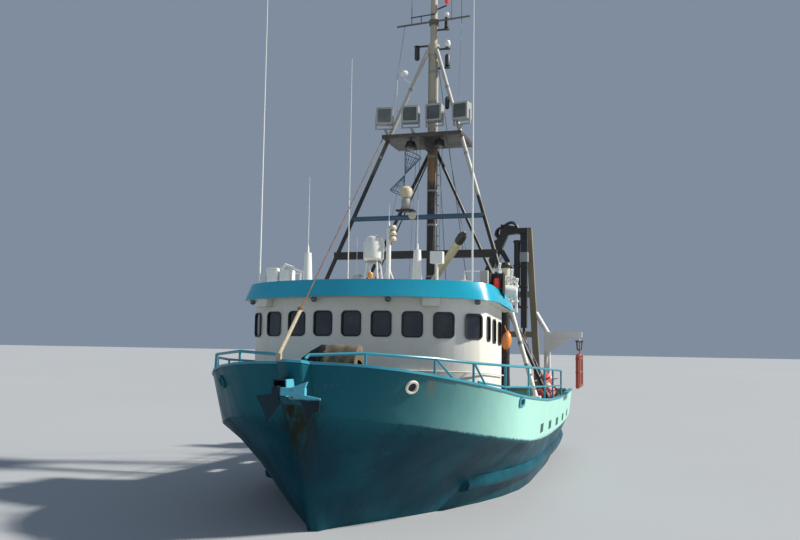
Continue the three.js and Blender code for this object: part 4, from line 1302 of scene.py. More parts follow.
@dataclass
class RoofGear:
    """Lockers, rail, lamps, thin aerials and braces on the house roof."""

    lines: HouseLines = field(default_factory=HouseLines)
    top: float = 5.06
    row: float = -4.1
    aerial_foot: Pairs = ((0.03, 0.0), (0.03, 0.16), (0.014, 0.22))
    stacked_lamp: Pairs = ((0.02, 0.0), (0.09, 0.01), (0.1, 0.05), (0.07, 0.11), (0.03, 0.12))
    search_lamp: Pairs = ((0.03, 0.0), (0.1, 0.04), (0.11, 0.16), (0.02, 0.17))
    amber_lamp: Pairs = ((0.07, 0.0), (0.075, 0.1), (0.05, 0.14), (0.0, 0.15))
    flange: Pairs = ((0.05, 0.0), (0.2, 0.0), (0.21, 0.03), (0.19, 0.05), (0.05, 0.05))

    def deck(self, y: float) -> float:
        """Returns the roof's height at a place along the boat."""
        return self.lines.drop(self.top, y)

    def build(self) -> None:
        """Makes everything on the roof."""
        self._lockers()
        self._aerials()
        self._lamps()
        self._braces()
        self._dome_rings()

    def _lockers(self) -> None:
        """Makes the white lockers and the rail to starboard, and the box to port."""
        white, grey = Form(), Form()
        y, deck = self.row, self.deck(self.row)
        white.box((-2.72, y - 0.25, deck), (-2.42, y + 0.25, deck + 0.74), 0.03)
        white.box((-2.38, y - 0.2, deck), (-2.1, y + 0.2, deck + 0.70), 0.03)
        white.tube([(-2.5, y, deck + 0.66), (-2.3, y, deck + 0.84), (-1.7, y, deck + 0.62)], 0.035, 10)
        for x, high in ((-2.15, 0.76), (-1.9, 0.69)):
            white.tube([(x, y, deck), (x, y, deck + high)], 0.022, 8)
        foot = self.deck(-3.4)
        grey.box((2.66, -3.55, foot - 0.02), (2.86, -3.4, foot + 0.72), 0.02)
        white.piece("roof_lockers", PLASTIC)
        grey.piece("roof_cabinet", LAMP_CASE)

    def _aerials(self) -> None:
        """Makes the thin aerials."""
        thin = Form()
        for x, y, low, high, radius in (
            (-1.0, -3.0, 0.0, 6.6, 0.016),
            (-1.68, -4.1, 1.1, 3.1, 0.012),
            (1.22, -4.1, 1.1, 2.4, 0.01),
            (-0.35, -4.1, 0.0, 1.5, 0.01),
            (0.48, -4.1, 1.65, 2.3, 0.009),
        ):
            deck = self.deck(y)
            spots = [(x, y, deck + up) for up in (low, (low + high) / 2, high)]
            thin.tube(spots, [radius, radius * 0.8, radius * 0.4], 8)
            thin.lathe(self.aerial_foot, spots[0], sides=12)
        thin.piece("roof_aerials", PLASTIC)

    def _lamps(self) -> None:
        """Makes the stacked lamp on the tall pole, the small search light and the amber lamp."""
        y, deck = self.row, self.deck(self.row)
        stack, hook, amber = Form(), Form(), Form()
        for level in (1.38, 1.52, 1.66):
            stack.lathe(self.stacked_lamp, (0.58, y, deck + level), sides=16)
        stack.tube([(0.48, y, deck + 1.36), (0.6, y, deck + 1.36)], 0.02, 8)
        stack.piece("stack_lamp", CREAM)
        hook.tube(arc((-0.35, y, deck), (-0.35, y, deck + 0.7), (-0.2, y, deck + 0.5)), 0.02, 8)
        hook.lathe(self.search_lamp, (-0.3, y - 0.02, deck + 0.46), (0, -1, -0.15), 16)
        hook.piece("search_light", LAMP_CASE)
        amber.lathe(self.amber_lamp, (0.1, y - 0.25, deck + 0.45), sides=16)
        amber.tube([(0.1, y - 0.25, deck), (0.1, y - 0.25, deck + 0.46)], 0.02, 8)
        amber.piece("amber_lamp", AMBER_LENS)

    def _braces(self) -> None:
        """Makes the slanting feet of the tall pole and the two white posts."""
        deck = self.deck(self.row)
        braces = Form()
        for x, high, spread in ((0.48, 0.75, 0.3), (-1.68, 0.5, 0.24), (1.22, 0.5, 0.24)):
            for dx, dy in ((spread, 0), (-spread, 0), (0, spread)):
                braces.tube([(x, self.row, deck + high), (x + dx, self.row + dy, deck)], 0.02, 8)
        braces.piece("post_braces", WHITE)

    def _dome_rings(self) -> None:
        """Makes the flange and clamp bolts under the dome."""
        deck = self.deck(self.row)
        rim = Form()
        rim.lathe(self.flange, (0.09, self.row, deck + 0.84))
        middle = Vector((0.09, self.row, deck + 0.80))
        for spot in ring(middle, Vector((1, 0, 0)), Vector((0, 1, 0)), 0.18, 8):
            rim.lathe([(0.012, 0.0), (0.012, 0.1)], spot, sides=6)
        rim.piece("dome_flange", GREY)


# The mast

PLATFORM_UNDER = 10.16


@dataclass
class MastLines:
    """The mast and its legs as the CAD draws them."""

    y: float = 1.8
    radius: float = 0.16
    leg_top: Point = (0.15, 1.64, 13.28)
    leg_foot: Point = (3.74, -1.35, 2.46)
    lamp_y: float = 0.57
    lamp_z: float = 10.88
    lamp_xs: tuple[float, ...] = (-1.235, -0.385, 0.385, 1.235)

    def on_leg(self, z: float, side: Side) -> Vector:
        """Finds the middle of a leg.

        Args:
            z: The height.
            side: The leg's side.

        Returns:
            The place.
        """
        part = (self.leg_top[2] - z) / (self.leg_top[2] - self.leg_foot[2])
        x, y, _ = (a + (b - a) * part for a, b in zip(self.leg_top, self.leg_foot))
        return Vector((side.value * x, y, z))


@dataclass
class FloodLights:
    """The glass, rims and cooling ribs of the four flood lights, and the small lamps under the platform."""

    lines: MastLines = field(default_factory=MastLines)
    width: float = 0.51
    depth: float = 0.3
    can: Pairs = ((0.03, 0.0), (0.14, -0.04), (0.17, -0.16), (0.175, -0.24), (0.15, -0.24))
    lens: Pairs = ((0.14, -0.225), (0.12, -0.25), (0.0, -0.26))

    def build(self) -> None:
        """Dresses each light."""
        glass, rims, ribs = Form(), Form(), Form()
        for k, x in enumerate(self.lines.lamp_xs):
            turn = math.radians((k - 1.5) * -9)
            out = Vector((math.sin(turn), -math.cos(turn), 0))
            middle = Vector((x, self.lines.lamp_y, self.lines.lamp_z))
            seat = Seat.facing(middle + out * (self.depth / 2), out)
            face = rounded_outline(self.width - 0.09, self.width - 0.09, 0.03)
            rim = rounded_outline(self.width + 0.016, self.width + 0.016, 0.04)
            glass.slab(seat, face, 0.001, 0.01)
            rims.frame(seat, rim, face, 0.001, 0.022)
            for n in range(5):
                up = -0.18 + 0.09 * n
                back = seat.moved(0, up, -self.depth)
                ribs.block(back, self.width * 0.8, 0.02, 0.06, 0.004)
            ribs.block(seat.moved(0, 0, -self.depth), 0.1, 0.42, 0.08, 0.01)
        glass.piece("flood_glass", LENS)
        rims.piece("flood_rims", LAMP_CASE)
        ribs.piece("flood_ribs", GREY)
        self._down_lights()

    def _down_lights(self) -> None:
        """Makes the two lamps under the platform."""
        cans, lenses = Form(), Form()
        for x in (-0.42, 0.5):
            cans.tube([(x, 0.75, PLATFORM_UNDER), (x, 0.75, PLATFORM_UNDER - 0.09)], 0.02, 8)
            cans.lathe(self.can, (x, 0.75, 10.1), (0, 0.2, 1))
            lenses.lathe(self.lens, (x, 0.75, 10.1), (0, 0.2, 1))
        cans.piece("down_light_cans", BLACK)
        lenses.piece("down_light_lenses", LENS)


@dataclass
class MastGear:
    """Lamps, brackets, aerials, day shape and rigging on the mast."""

    lines: MastLines = field(default_factory=MastLines)
    mushroom: Pairs = ((0.03, 0.0), (0.13, 0.02), (0.14, 0.08), (0.1, 0.15), (0.0, 0.18))
    leg_lamp: Pairs = ((0.03, 0.0), (0.07, 0.03), (0.07, 0.34), (0.03, 0.4))
    lamp_globe: Pairs = ((0.05, 0.0), (0.15, 0.05), (0.2, 0.17), (0.18, 0.3), (0.09, 0.38), (0.0, 0.4))

    def build(self) -> None:
        """Makes the gear from the top down."""
        self._masthead()
        self._leg_aerials()
        self._day_shape()
        self._search_light()
        self._rigging()
        self._ladder()
        self._bands()

    def _masthead(self) -> None:
        """Makes the brackets and lamps near the masthead."""
        y = self.lines.y
        brackets, lamps, globes, red = Form(), Form(), Form(), Form()
        for x, z in ((0.46, 12.72), (0.46, 13.35), (0.42, 14.0), (-0.56, 13.5)):
            brackets.block(Seat.facing((x / 2, y, z), AHEAD), abs(x), 0.05, 0.07, 0.01)
            brackets.lathe([(0.1, 0.0), (0.1, 0.03), (0.02, 0.05)], (x, y, z - 0.01), sides=16)
        for form, profile, x, z in (
            (lamps, ((0.05, 0), (0.085, 0.03), (0.085, 0.34), (0.05, 0.4), (0.02, 0.41)), 0.46, 12.76),
            (lamps, ((0.05, 0), (0.085, -0.03), (0.085, -0.4), (0.04, -0.44)), -0.56, 13.48),
            (lamps, ((0.04, 0), (0.07, 0.02), (0.06, 0.35), (0.05, 0.36)), 0.42, 14.04),
            (globes, ((0.04, 0), (0.08, 0.04), (0.1, 0.12), (0.08, 0.2), (0.02, 0.24)), 0.46, 13.4),
            (globes, ((0.04, 0), (0.085, 0.06), (0.08, 0.14), (0, 0.19)), 0.42, 14.4),
            (red, ((0.04, 0), (0.075, 0.03), (0.07, 0.2), (0, 0.24)), 0.42, 14.85),
        ):
            form.lathe(profile, (x, y, z), sides=16)
        brackets.tube([(0.1, y, 14.7), (0.42, y, 14.8)], 0.025, 8)
        front = y - 0.13
        brackets.tube([(-0.75, front, 14.45), (0.05, front, 14.5)], 0.02, 8)
        brackets.tube([(-0.4, front, 14.27), (-0.4, front, 14.5)], 0.014, 8)
        brackets.piece("masthead_brackets", BLACK)
        lamps.piece("masthead_lamps", BLACK)
        globes.piece("masthead_globes", PLASTIC)
        red.piece("masthead_red_lamp", RED_LENS)

    def _leg_aerials(self) -> None:
        """Makes the mushroom aerial and the short whip on the starboard leg, and the lamp to port."""
        white, dark = Form(), Form()
        foot = self.lines.on_leg(12.1, Side.STARBOARD)
        tip = Vector((-0.84, foot.y, 12.3))
        white.tube([foot, tip, tip + Vector((0, 0, 0.12))], 0.022, 8)
        white.lathe(self.mushroom, tip + Vector((0, 0, 0.1)))
        low = self.lines.on_leg(11.2, Side.STARBOARD)
        whip = Vector((low.x - 0.16, low.y, 11.2))
        white.tube([low, whip], 0.02, 8)
        white.tube([whip - Vector((0, 0, 0.1)), whip + Vector((0, 0, 1.0))], [0.018, 0.008], 8)
        white.piece("leg_aerials", PLASTIC)
        port = self.lines.on_leg(11.4, Side.PORT)
        dark.lathe(self.leg_lamp, (port.x - 0.14, port.y, 11.15), sides=16)
        dark.tube([port, (port.x - 0.14, port.y, 11.4)], 0.02, 8)
        dark.piece("leg_lamp", BLACK)

    def _day_shape(self) -> None:
        """Makes the two wire cones that hang point to point below the platform."""
        wires = Form()
        top, waist, low = Vector((-0.28, 0.5, 9.6)), Vector((-0.5, 0.4, 8.98)), Vector((-0.72, 0.35, 8.42))
        for centre, radius in ((top, 0.27), (low, 0.24)):
            axis = (centre - waist).normalized()
            normal = axis.orthogonal().normalized()
            side = axis.cross(normal)
            for share in (1.0, 0.66, 0.33):
                hoop = ring(waist.lerp(centre, share), normal, side, radius * share, 20)
                wires.tube(hoop, 0.012 if share == 1.0 else 0.006, 5, closed=True)
            for rim in ring(centre, normal, side, radius, 16):
                wires.tube([waist, rim], 0.006, 4)
        wires.tube([top, (-0.2, 0.55, PLATFORM_UNDER)], 0.006, 5)
        wires.tube([low, (-0.85, 0.25, 7.66)], 0.006, 5)
        wires.piece("day_shape", BLUE_WIRE)

    def _search_light(self) -> None:
        """Makes the search light and the round lamp on the spreader."""
        spot = self.lines.on_leg(7.6, Side.PORT)
        y = spot.y
        tray, case, globe = Form(), Form(), Form()
        tray.box((-0.62, y - 0.2, 7.78), (-0.08, y + 0.2, 7.83), 0.01)
        for x in (-0.5, -0.2):
            tray.tube([(x, y, 7.66), (x, y, 7.8)], 0.025, 8)
        case.lathe([(0.12, 0.0), (0.14, 0.03), (0.14, 0.3), (0.1, 0.36)], (-0.35, y, 7.83), sides=20)
        globe.lathe(self.lamp_globe, (-0.35, y, 8.17))
        globe.lathe([(0.03, 0.0), (0.1, 0.03), (0.11, 0.12), (0.0, 0.13)], (-0.1, y - 0.08, 7.62), AHEAD)
        tray.piece("spreader_tray", BLACK)
        case.piece("spreader_lamp_case", GREY)
        globe.piece("spreader_globe", CREAM)

    def _rigging(self) -> None:
        """Makes the halyards and thin stays, and the pipes beside the after legs."""
        lines = Form()
        y = self.lines.y
        for start, end, radius in (
            ((0.28, y - 0.6, PLATFORM_UNDER), (0.28, y - 0.9, 6.55), 0.007),
            ((0.5, y - 0.7, PLATFORM_UNDER), (0.5, y - 1.0, 6.55), 0.007),
            ((-0.3, y - 0.4, PLATFORM_UNDER), (-0.34, y - 0.9, 5.2), 0.007),
            ((-0.42, y - 0.4, PLATFORM_UNDER), (-0.5, y - 0.9, 5.2), 0.007),
            ((0.75, 0.6, PLATFORM_UNDER), (1.55, -0.1, 6.5), 0.008),
            ((-0.95, y - 0.13, 14.2), (-1.1, 0.6, 10.3), 0.006),
            ((0.95, y - 0.13, 14.28), (1.1, 0.6, 10.3), 0.006),
            ((0.05, y + 0.2, 13.3), (0.4, 5.4, 5.72), 0.012),
            ((-0.05, y + 0.2, 13.3), (-0.4, 5.4, 5.72), 0.012),
        ):
            lines.tube([start, end], radius, 6)
        for side in Side:
            s = side.value
            lines.tube([(s * 0.12, 2.02, 9.9), (s * 3.74, 2.3, 2.26)], 0.024, 8)
        lines.piece("halyards", GREY_WIRE)

    def _ladder(self) -> None:
        """Makes the rungs up the after side of the mast."""
        rungs = Form()
        y = self.lines.y + self.lines.radius
        for n in range(24):
            z = 2.0 + 0.33 * n
            rungs.tube(staple(0.16, [(y - 0.05, z), (y + 0.1, z)]), 0.01, 6)
        rungs.piece("mast_rungs", BLACK)

    def _bands(self) -> None:
        """Makes the clamps and cable runs on the mast and legs."""
        clamps = Form()
        y = self.lines.y
        for z in (5.05, 5.95, 7.6, 8.7, 9.8, 11.6, 12.6):
            clamps.collar(0.163, 0.172, 0.03, (0, y, z))
        clamps.tube([(0.14, y - 0.12, 4.6), (0.14, y - 0.12, 13.1)], 0.014, 6)
        clamps.tube([(-0.13, y - 0.13, 4.6), (-0.13, y - 0.13, 13.1)], 0.011, 6)
        for side in Side:
            for z in (3.3, 3.9, 9.6, 11.9):
                spot = self.lines.on_leg(z, side)
                heading = self.lines.on_leg(z + 1, side) - spot
                clamps.collar(0.063, 0.072, 0.04, spot, heading, 16)
        clamps.piece("mast_clamps", GREY)


# Bow


@dataclass
class BowFittings:
    """Round fairleads and oblong chocks in the bulwark."""

    def build(self) -> None:
        """Makes the fittings on both sides."""
        rings, shaded_ring, holes, chocks = Form(), Form(), Form(), Form()
        for side in Side:
            s = side.value
            seat = seat_on("bulwark", (s * 2.12, -7.48, 2.985))
            # Painted shade: the starboard ring takes the hull's dark teal in place of the port ring's white,
            # for the shade it lies in.
            self._round(rings if side is Side.PORT else shaded_ring, holes, seat, 0.15, 0.09)
            self._oblong(chocks, holes, seat_on("bulwark", (s * 3.75, -3.76, 2.51)))
        rings.piece("fairlead_rings", WHITE)
        shaded_ring.piece("fairlead_ring_starboard", HULL)
        chocks.piece("side_chocks", TRIM)
        holes.piece("fairlead_throat_shades", SEAL)

    @staticmethod
    def _round(rings: Form, holes: Form, seat: Seat, outer: float, inner: float) -> None:
        """Adds a round fairlead.

        Args:
            rings: The form that takes the ring.
            holes: The form that takes the black disc of painted shade in its opening.
            seat: Its seat.
            outer: The ring's outer radius.
            inner: The ring's inner radius.
        """
        profile = [(inner, -0.01), (outer - 0.01, -0.01), (outer, 0.02)]
        profile += [(outer - 0.015, 0.05), (inner + 0.01, 0.05), (inner, 0.02)]
        section = []
        for t in turns(28):
            section.append([seat.at(size * math.cos(t), size * math.sin(t), out) for size, out in profile])
        rings.loft(section, closed=True)
        # Painted shade: a black disc fills the opening.
        holes.slab(seat, rounded_outline(2 * inner + 0.01, 2 * inner + 0.01, inner, 6), 0.002, 0.008)

    @staticmethod
    def _oblong(rings: Form, holes: Form, seat: Seat) -> None:
        """Adds an oblong chock.

        Args:
            rings: The form that takes the chock.
            holes: The form that takes the black disc of painted shade in its opening.
            seat: Its seat.
        """
        outer = rounded_outline(0.42, 0.22, 0.08)
        inner = rounded_outline(0.3, 0.13, 0.06)
        rings.frame(seat, outer, inner, -0.01, 0.035)
        # Painted shade: a black slab fills the opening.
        holes.slab(seat, inner, 0.002, 0.008)


@dataclass
class CapLines:
    """The middle line of the cap rail and the height of the pipe over it, as the CAD draws them."""

    bow: float = -8.825
    entry: float = 6.7
    power: float = 0.98
    half: float = 3.86
    nose: float = 0.35
    inset: float = 0.0525
    cap: Pairs = ((-8.25, 3.44), (-7.75, 3.35), (-6.75, 3.165), (-5.75, 2.995), (-4.75, 2.825))
    pipe: Pairs = ((-8.5, 3.61), (-8.15, 3.655), (-7.1, 3.56), (-6.05, 3.46), (-4.7, 3.383))

    @staticmethod
    def height(table: Pairs, y: float) -> float:
        """Reads a table of heights, straight between its rows.

        Args:
            table: Pairs of y and height.
            y: The place along the boat.

        Returns:
            The height there.
        """
        for (y0, z0), (y1, z1) in zip(table, table[1:]):
            if y <= y1:
                break
        return z0 + (z1 - z0) * (y - y0) / (y1 - y0)

    def on_cap(self, y: float, side: Side, z: float | None = None) -> Vector:
        """Finds a place over the cap's middle line.

        Args:
            y: The place along the boat.
            side: The side.
            z: Its height, or none for the cap's own.

        Returns:
            The place.
        """
        turn = math.acos(1 - (y - self.bow - self.nose) / (self.entry - self.nose))
        x = self.nose + (self.half - self.nose) * math.sin(turn) ** self.power - self.inset
        return Vector((side.value * x, y, self.height(self.cap, y) if z is None else z))


@dataclass
class Splay:
    """The second feet of the forward rail posts."""

    lines: CapLines = field(default_factory=CapLines)
    posts: tuple[float, ...] = (-7.1, -6.05)
    spread: float = 0.42

    def build(self) -> None:
        """Makes the slanting posts on both sides."""
        feet = Form()
        for side in Side:
            for y in self.posts:
                top = self.lines.on_cap(y, side, self.lines.height(self.lines.pipe, y))
                feet.tube([top, self.lines.on_cap(y + self.spread, side)], 0.024, 8)
        feet.piece("rail_splays", TRIM)


@dataclass
class AnchorGear:
    """The black plate of painted shade inside the hawse box, and the pin of the anchor."""

    box_x: tuple[float, float] = (-0.165, 0.065)
    face: float = -9.2

    def build(self) -> None:
        """Makes the anchor's fittings."""
        pins, recess_shade = Form(), Form()
        profile = [(0.035, -0.02), (0.035, 0.01), (0.02, 0.025), (0.0, 0.027)]
        pins.lathe(profile, (0.3, self.face, 2.82), AHEAD, 16)
        # Painted shade: a black plate at the back of the hawse box darkens its opening.
        recess_shade.box((self.box_x[0] + 0.002, -8.72, 2.9), (self.box_x[1] - 0.002, -8.69, 3.12), 0.004)
        pins.piece("anchor_pins", RUSTED)
        recess_shade.piece("hawse_recess_shade", BLACK)


def chain_link(form: Form, middle: Vector, flat: bool) -> None:
    """Adds one chain link along Y."""
    across = Vector((1, 0, 0)) if flat else Vector(UP)
    form.tube(ring(middle, Vector((0, 0.085, 0)), across * 0.05, 1.0, 16), 0.014, 6, closed=True)


@dataclass
class WindlassTarp:
    """The tarpaulin that is thrown over the windlass."""

    columns: int = 46
    rows: int = 34

    def build(self) -> None:
        """Makes the cloth and hides the CAD cover."""
        low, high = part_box("windlass_cover")
        middle = (low + high) / 2
        wide, deep = high.x - low.x, high.y - low.y
        points, faces = [], []
        for r in range(self.rows + 1):
            v = r / self.rows * 2 - 1
            for c in range(self.columns + 1):
                u = c / self.columns * 2 - 1
                points.append(self._spot(u, v, middle, wide, deep, low.z, high.z))
        stride = self.columns + 1
        for r in range(self.rows):
            for c in range(self.columns):
                a = r * stride + c
                faces.append((a, a + 1, a + 1 + stride, a + stride))
        cloth = Form()
        cloth.add(points, faces)
        made = cloth.piece("windlass_tarp", TARP, crease=80)
        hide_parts("windlass_cover")

    @staticmethod
    def _spot(u: float, v: float, middle: Vector, wide: float, deep: float, low: float, high: float) -> Point:
        """Drapes a place on the cloth.

        Args:
            u: How far along the drum it is, from -1 to 1.
            v: How far across the drum it is, from -1 to 1.
            middle: The middle of the drum's cover.
            wide: The cover's size along the drum.
            deep: The cover's size across the drum.
            low: The cover's lowest height.
            high: The cover's highest height.

        Returns:
            Where it lies.
        """
        slope = max(0.0, -u - 0.35) / 0.65
        fall = max(0.0, u - 0.86) / 0.14
        x = middle.x + wide * 0.5 * min(u, 0.86) / (0.86 if u > 0 else 1.0)
        turn = v * math.radians(96)
        y = middle.y + deep * 0.5 * math.sin(turn) * (1 - 0.25 * slope)
        share = 0.25 + 0.75 * math.cos(turn) ** 2 if abs(v) < 0.9 else 0.25 * (1 - abs(v)) / 0.1
        crown = low + (high - low) * share
        sag = 0.035 * math.sin(7 * u + 2 * v) * (1 - v * v) + 0.022 * math.sin(15 * u + 5 * v)
        ripple = 0.014 * math.sin(19 * u) * abs(v) ** 3
        z = crown + sag * 0.25 - fall * (0.34 + 0.04 * math.sin(8 * v))
        z -= slope * 0.26 * (crown - low) / (high - low)
        return (x + 0.02 * math.sin(9 * v) * fall, y + ripple, z)


# Crane and derrick


@dataclass
class CraneGear:
    """Hoses, cylinders, sleeves and hook of the knuckle crane."""

    foot: Point = (0.45, 4.65, 4.5)
    knuckle: Point = (2.51, 4.65, 7.71)

    def build(self) -> None:
        """Makes the crane's gear."""
        self._hoses()
        self._cylinders()
        self._hook()

    def _hoses(self) -> None:
        """Makes the hose loops over the knuckle and the pipes along the boom."""
        x, y, z = self.knuckle
        loops, low = Form(), Form()
        for k, dy in enumerate((-0.1, -0.04, 0.03, 0.09)):
            start = (x - 0.66 - 0.05 * k, y + dy, z + 0.14)
            crown = (x - 0.36, y + dy * 1.4, z + 0.46 + 0.05 * k)
            loops.tube(arc(start, crown, (x - 0.2, y + dy, z + 0.08), 16), 0.032, 8)
            low_start = (x - 0.6, y + dy, z + 0.14)
            bend = (x - 0.98 + 0.02 * k, y + dy, z - 0.1)
            upper = arc(low_start, (x - 0.95, y + dy, z + 0.2 + 0.03 * k), bend, 10)
            loops.tube(upper[:-1] + arc(bend, bend, (x - 0.72, y + dy, z - 0.45), 6), 0.034, 8)
        for k in range(3):
            along = Vector(self.knuckle) - Vector(self.foot)
            side = Vector((0, -0.135, 0.03 * k - 0.03))
            start, end = Vector(self.foot) + along * 0.12 + side, Vector(self.foot) + along * 0.72 + side
            shift = Vector((-0.14, 0, 0.0))
            low.tube([start + shift, end + shift * 1.2], 0.018, 8)
        loops.piece("knuckle_hoses", HOSE, "crane_boom")
        low.piece("boom_pipes", STEEL, "crane_boom")

    def _cylinders(self) -> None:
        """Makes the jib's sleeve, cylinder and straps, and the folding cylinder."""
        x, y, z = self.knuckle
        sleeve, barrel, straps = Form(), Form(), Form()
        sleeve.box((x - 0.14, y - 0.105, z - 1.05), (x + 0.14, y + 0.105, z - 0.72), 0.012)
        barrel.tube([(x - 0.24, y, z - 0.3), (x - 0.24, y, z - 1.9)], 0.105, 16)
        barrel.tube([(x - 0.24, y, z - 1.9), (x - 0.2, y, z - 2.6)], 0.05, 12)
        for up in (0.32, 1.15, 1.86, 2.55):
            straps.box((x - 0.35, y - 0.125, z - up - 0.08), (x + 0.12, y + 0.125, z - up), 0.01)
        fold = Form()
        fold.tube([(x - 0.98, y, z - 0.28), (x - 0.55, y, z - 1.05)], 0.085, 14)
        fold.tube([(x - 0.55, y, z - 1.05), (x - 0.392, y, z - 1.34)], 0.045, 12)
        fold.piece("fold_cylinder", BLACK, "crane_boom")
        sleeve.piece("jib_sleeve", GREY_SLEEVE, "crane_jib")
        barrel.piece("jib_cylinder", BLACK, "crane_jib")
        straps.piece("jib_straps", BLACK, "crane_jib")

    def _hook(self) -> None:
        """Makes the hook under the jib."""
        x, y, _ = self.knuckle
        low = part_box("crane_jib")[0].z
        hook = Form()
        hook.lathe([(0.05, 0.0), (0.055, -0.02), (0.055, -0.1), (0.03, -0.14)], (x, y, low + 0.02), sides=14)
        path = []
        for n in range(14):
            t = math.radians(90 - 20 * n)
            path.append((x + 0.075 * math.cos(t), y, low - 0.22 + 0.075 * math.sin(t)))
        hook.tube([(x, y, low - 0.1), *path], 0.02, 8)
        hook.piece("crane_hook", RUSTED, "crane_jib")


@dataclass
class DerrickGear:
    """The dark tip of the derrick boom."""

    heel: Point = (0.05, 1.33, 5.64)
    tip: Point = (2.03, -2.4, 6.78)
    trunnion: float = 0.25
    radius: float = 0.12
    cone: float = 0.32

    def build(self) -> None:
        """Makes the tip's sleeve."""
        tip, heel = Vector(self.tip), Vector(self.heel)
        level = Vector((tip.x - heel.x, tip.y - heel.y, 0)).normalized()
        out = (tip - heel - level * self.trunnion).normalized()
        sleeve = Form()
        wide = self.radius + 0.004
        sleeve.lathe([(wide, -self.cone - 0.3), (wide, -self.cone), (0.028, -0.004), (0.0, 0.0)], tip, out)
        sleeve.piece("derrick_tip", BLACK, "derrick_boom")


# Aft


@dataclass
class ExhaustGear:
    """The pipe cluster and vent round the exhaust stack."""

    x: float = 2.95
    y: float = -1.5
    pipes: tuple[Point, ...] = (
        (-0.3, -0.22, 5.86),
        (-0.15, -0.2, 6.0),
        (0.0, -0.26, 5.66),
        (0.17, -0.18, 5.84),
        (0.3, -0.1, 5.6),
    )
    handle: Pairs = ((0.02, 0.0), (0.06, 0.01), (0.06, 0.03), (0.02, 0.04))
    wide_cap: Pairs = ((0.11, 0.0), (0.14, 0.02), (0.15, 0.08), (0.12, 0.14), (0.04, 0.17), (0.0, 0.17))
    small_cap: Pairs = ((0.08, 0.0), (0.11, 0.02), (0.11, 0.08), (0.04, 0.11), (0.0, 0.11))
    vent: Pairs = ((0.1, -0.24), (0.15, -0.2), (0.165, 0.0), (0.15, 0.2), (0.1, 0.24))

    def build(self) -> None:
        """Makes the pipes, valves, caps and vent head."""
        pipes, caps, vent = Form(), Form(), Form()
        for dx, dy, top in self.pipes:
            x, y = self.x + dx, self.y + dy
            pipes.tube([(x, y, 4.7), (x, y, top - 0.12), (x + 0.04, y - 0.05, top)], 0.038, 10)
            for z in (5.0, 5.4):
                pipes.collar(0.038, 0.065, 0.03, (x, y, z), sides=12)
                pipes.tube([(x, y - 0.04, z + 0.12), (x, y - 0.14, z + 0.12)], 0.02, 8)
                pipes.lathe(self.handle, (x, y - 0.13, z + 0.12), AHEAD, 12)
        for z in (4.74, 5.62):
            pipes.tube([(self.x - 0.3, self.y - 0.2, z), (self.x + 0.28, self.y - 0.16, z)], 0.03, 8)
        caps.lathe(self.wide_cap, (self.x, self.y, 5.89))
        caps.lathe(self.small_cap, (self.x - 0.29, self.y, 5.69))
        head, foot = (self.x + 0.14, self.y - 0.42, 5.24), (self.x + 0.12, self.y - 0.16, 5.24)
        vent.lathe(self.vent, head, (1, 0.2, -0.12), 20)
        vent.tube([head, foot], 0.03, 8)
        pipes.piece("vent_pipes", PLASTIC)
        caps.piece("stack_caps", BLACK)
        vent.piece("vent_head", PLASTIC)


@dataclass
class GallowsGear:
    """Shackles, chain and braces of the gallows, and the irons of the trawl boards."""

    x: float = 4.29
    y: float = 5.4

    def build(self) -> None:
        """Makes the gear on both sides."""
        for side in Side:
            s = side.value
            name = side.label
            chain, brace, board = Form(), Form(), Form()
            for n in range(3):
                chain_link(chain, Vector((s * self.x, self.y, 4.0 - 0.16 * n)), n % 2 == 0)
            x = s * self.x
            shackle = ((x - 0.09, 3.98), (x - 0.07, 3.7), (x + 0.07, 3.7), (x + 0.09, 3.98))
            chain.tube([(u, self.y, z) for u, z in shackle], 0.026, 8)
            chain.tube([(x - 0.13, self.y, 3.98), (x + 0.13, self.y, 3.98)], 0.03, 8)
            chain.piece(f"gallows_chain_{name}", RUSTED)
            brace.tube([(s * 2.80, self.y + 0.1, 4.95), (s * 3.24, self.y, 4.22)], 0.08, 12)
            brace.tube([(s * 3.2, self.y - 0.1, 3.6), (s * 3.2, self.y - 0.55, 2.3)], 0.035, 10)
            brace.piece(f"gallows_brace_{name}", WHITE)
            self._board(board, s)
            board.piece(f"trawl_board_irons_{name}", RUSTED)

    def _board(self, board: Form, s: int) -> None:
        """Adds the irons on a trawl board.

        Args:
            board: The form that takes them.
            s: The side's sign.
        """
        for z in (2.5, 2.95, 3.4):
            for out in (-0.055, 0.055):
                x = s * self.x + out
                board.box((x - 0.012, self.y - 0.78, z - 0.03), (x + 0.012, self.y + 0.76, z + 0.03), 0.004)
        for y in (-0.6, 0.0, 0.55):
            for out in (-0.06, 0.06):
                x = s * self.x + out
                board.box((x - 0.012, self.y + y - 0.035, 2.46), (x + 0.012, self.y + y + 0.035, 3.5), 0.004)


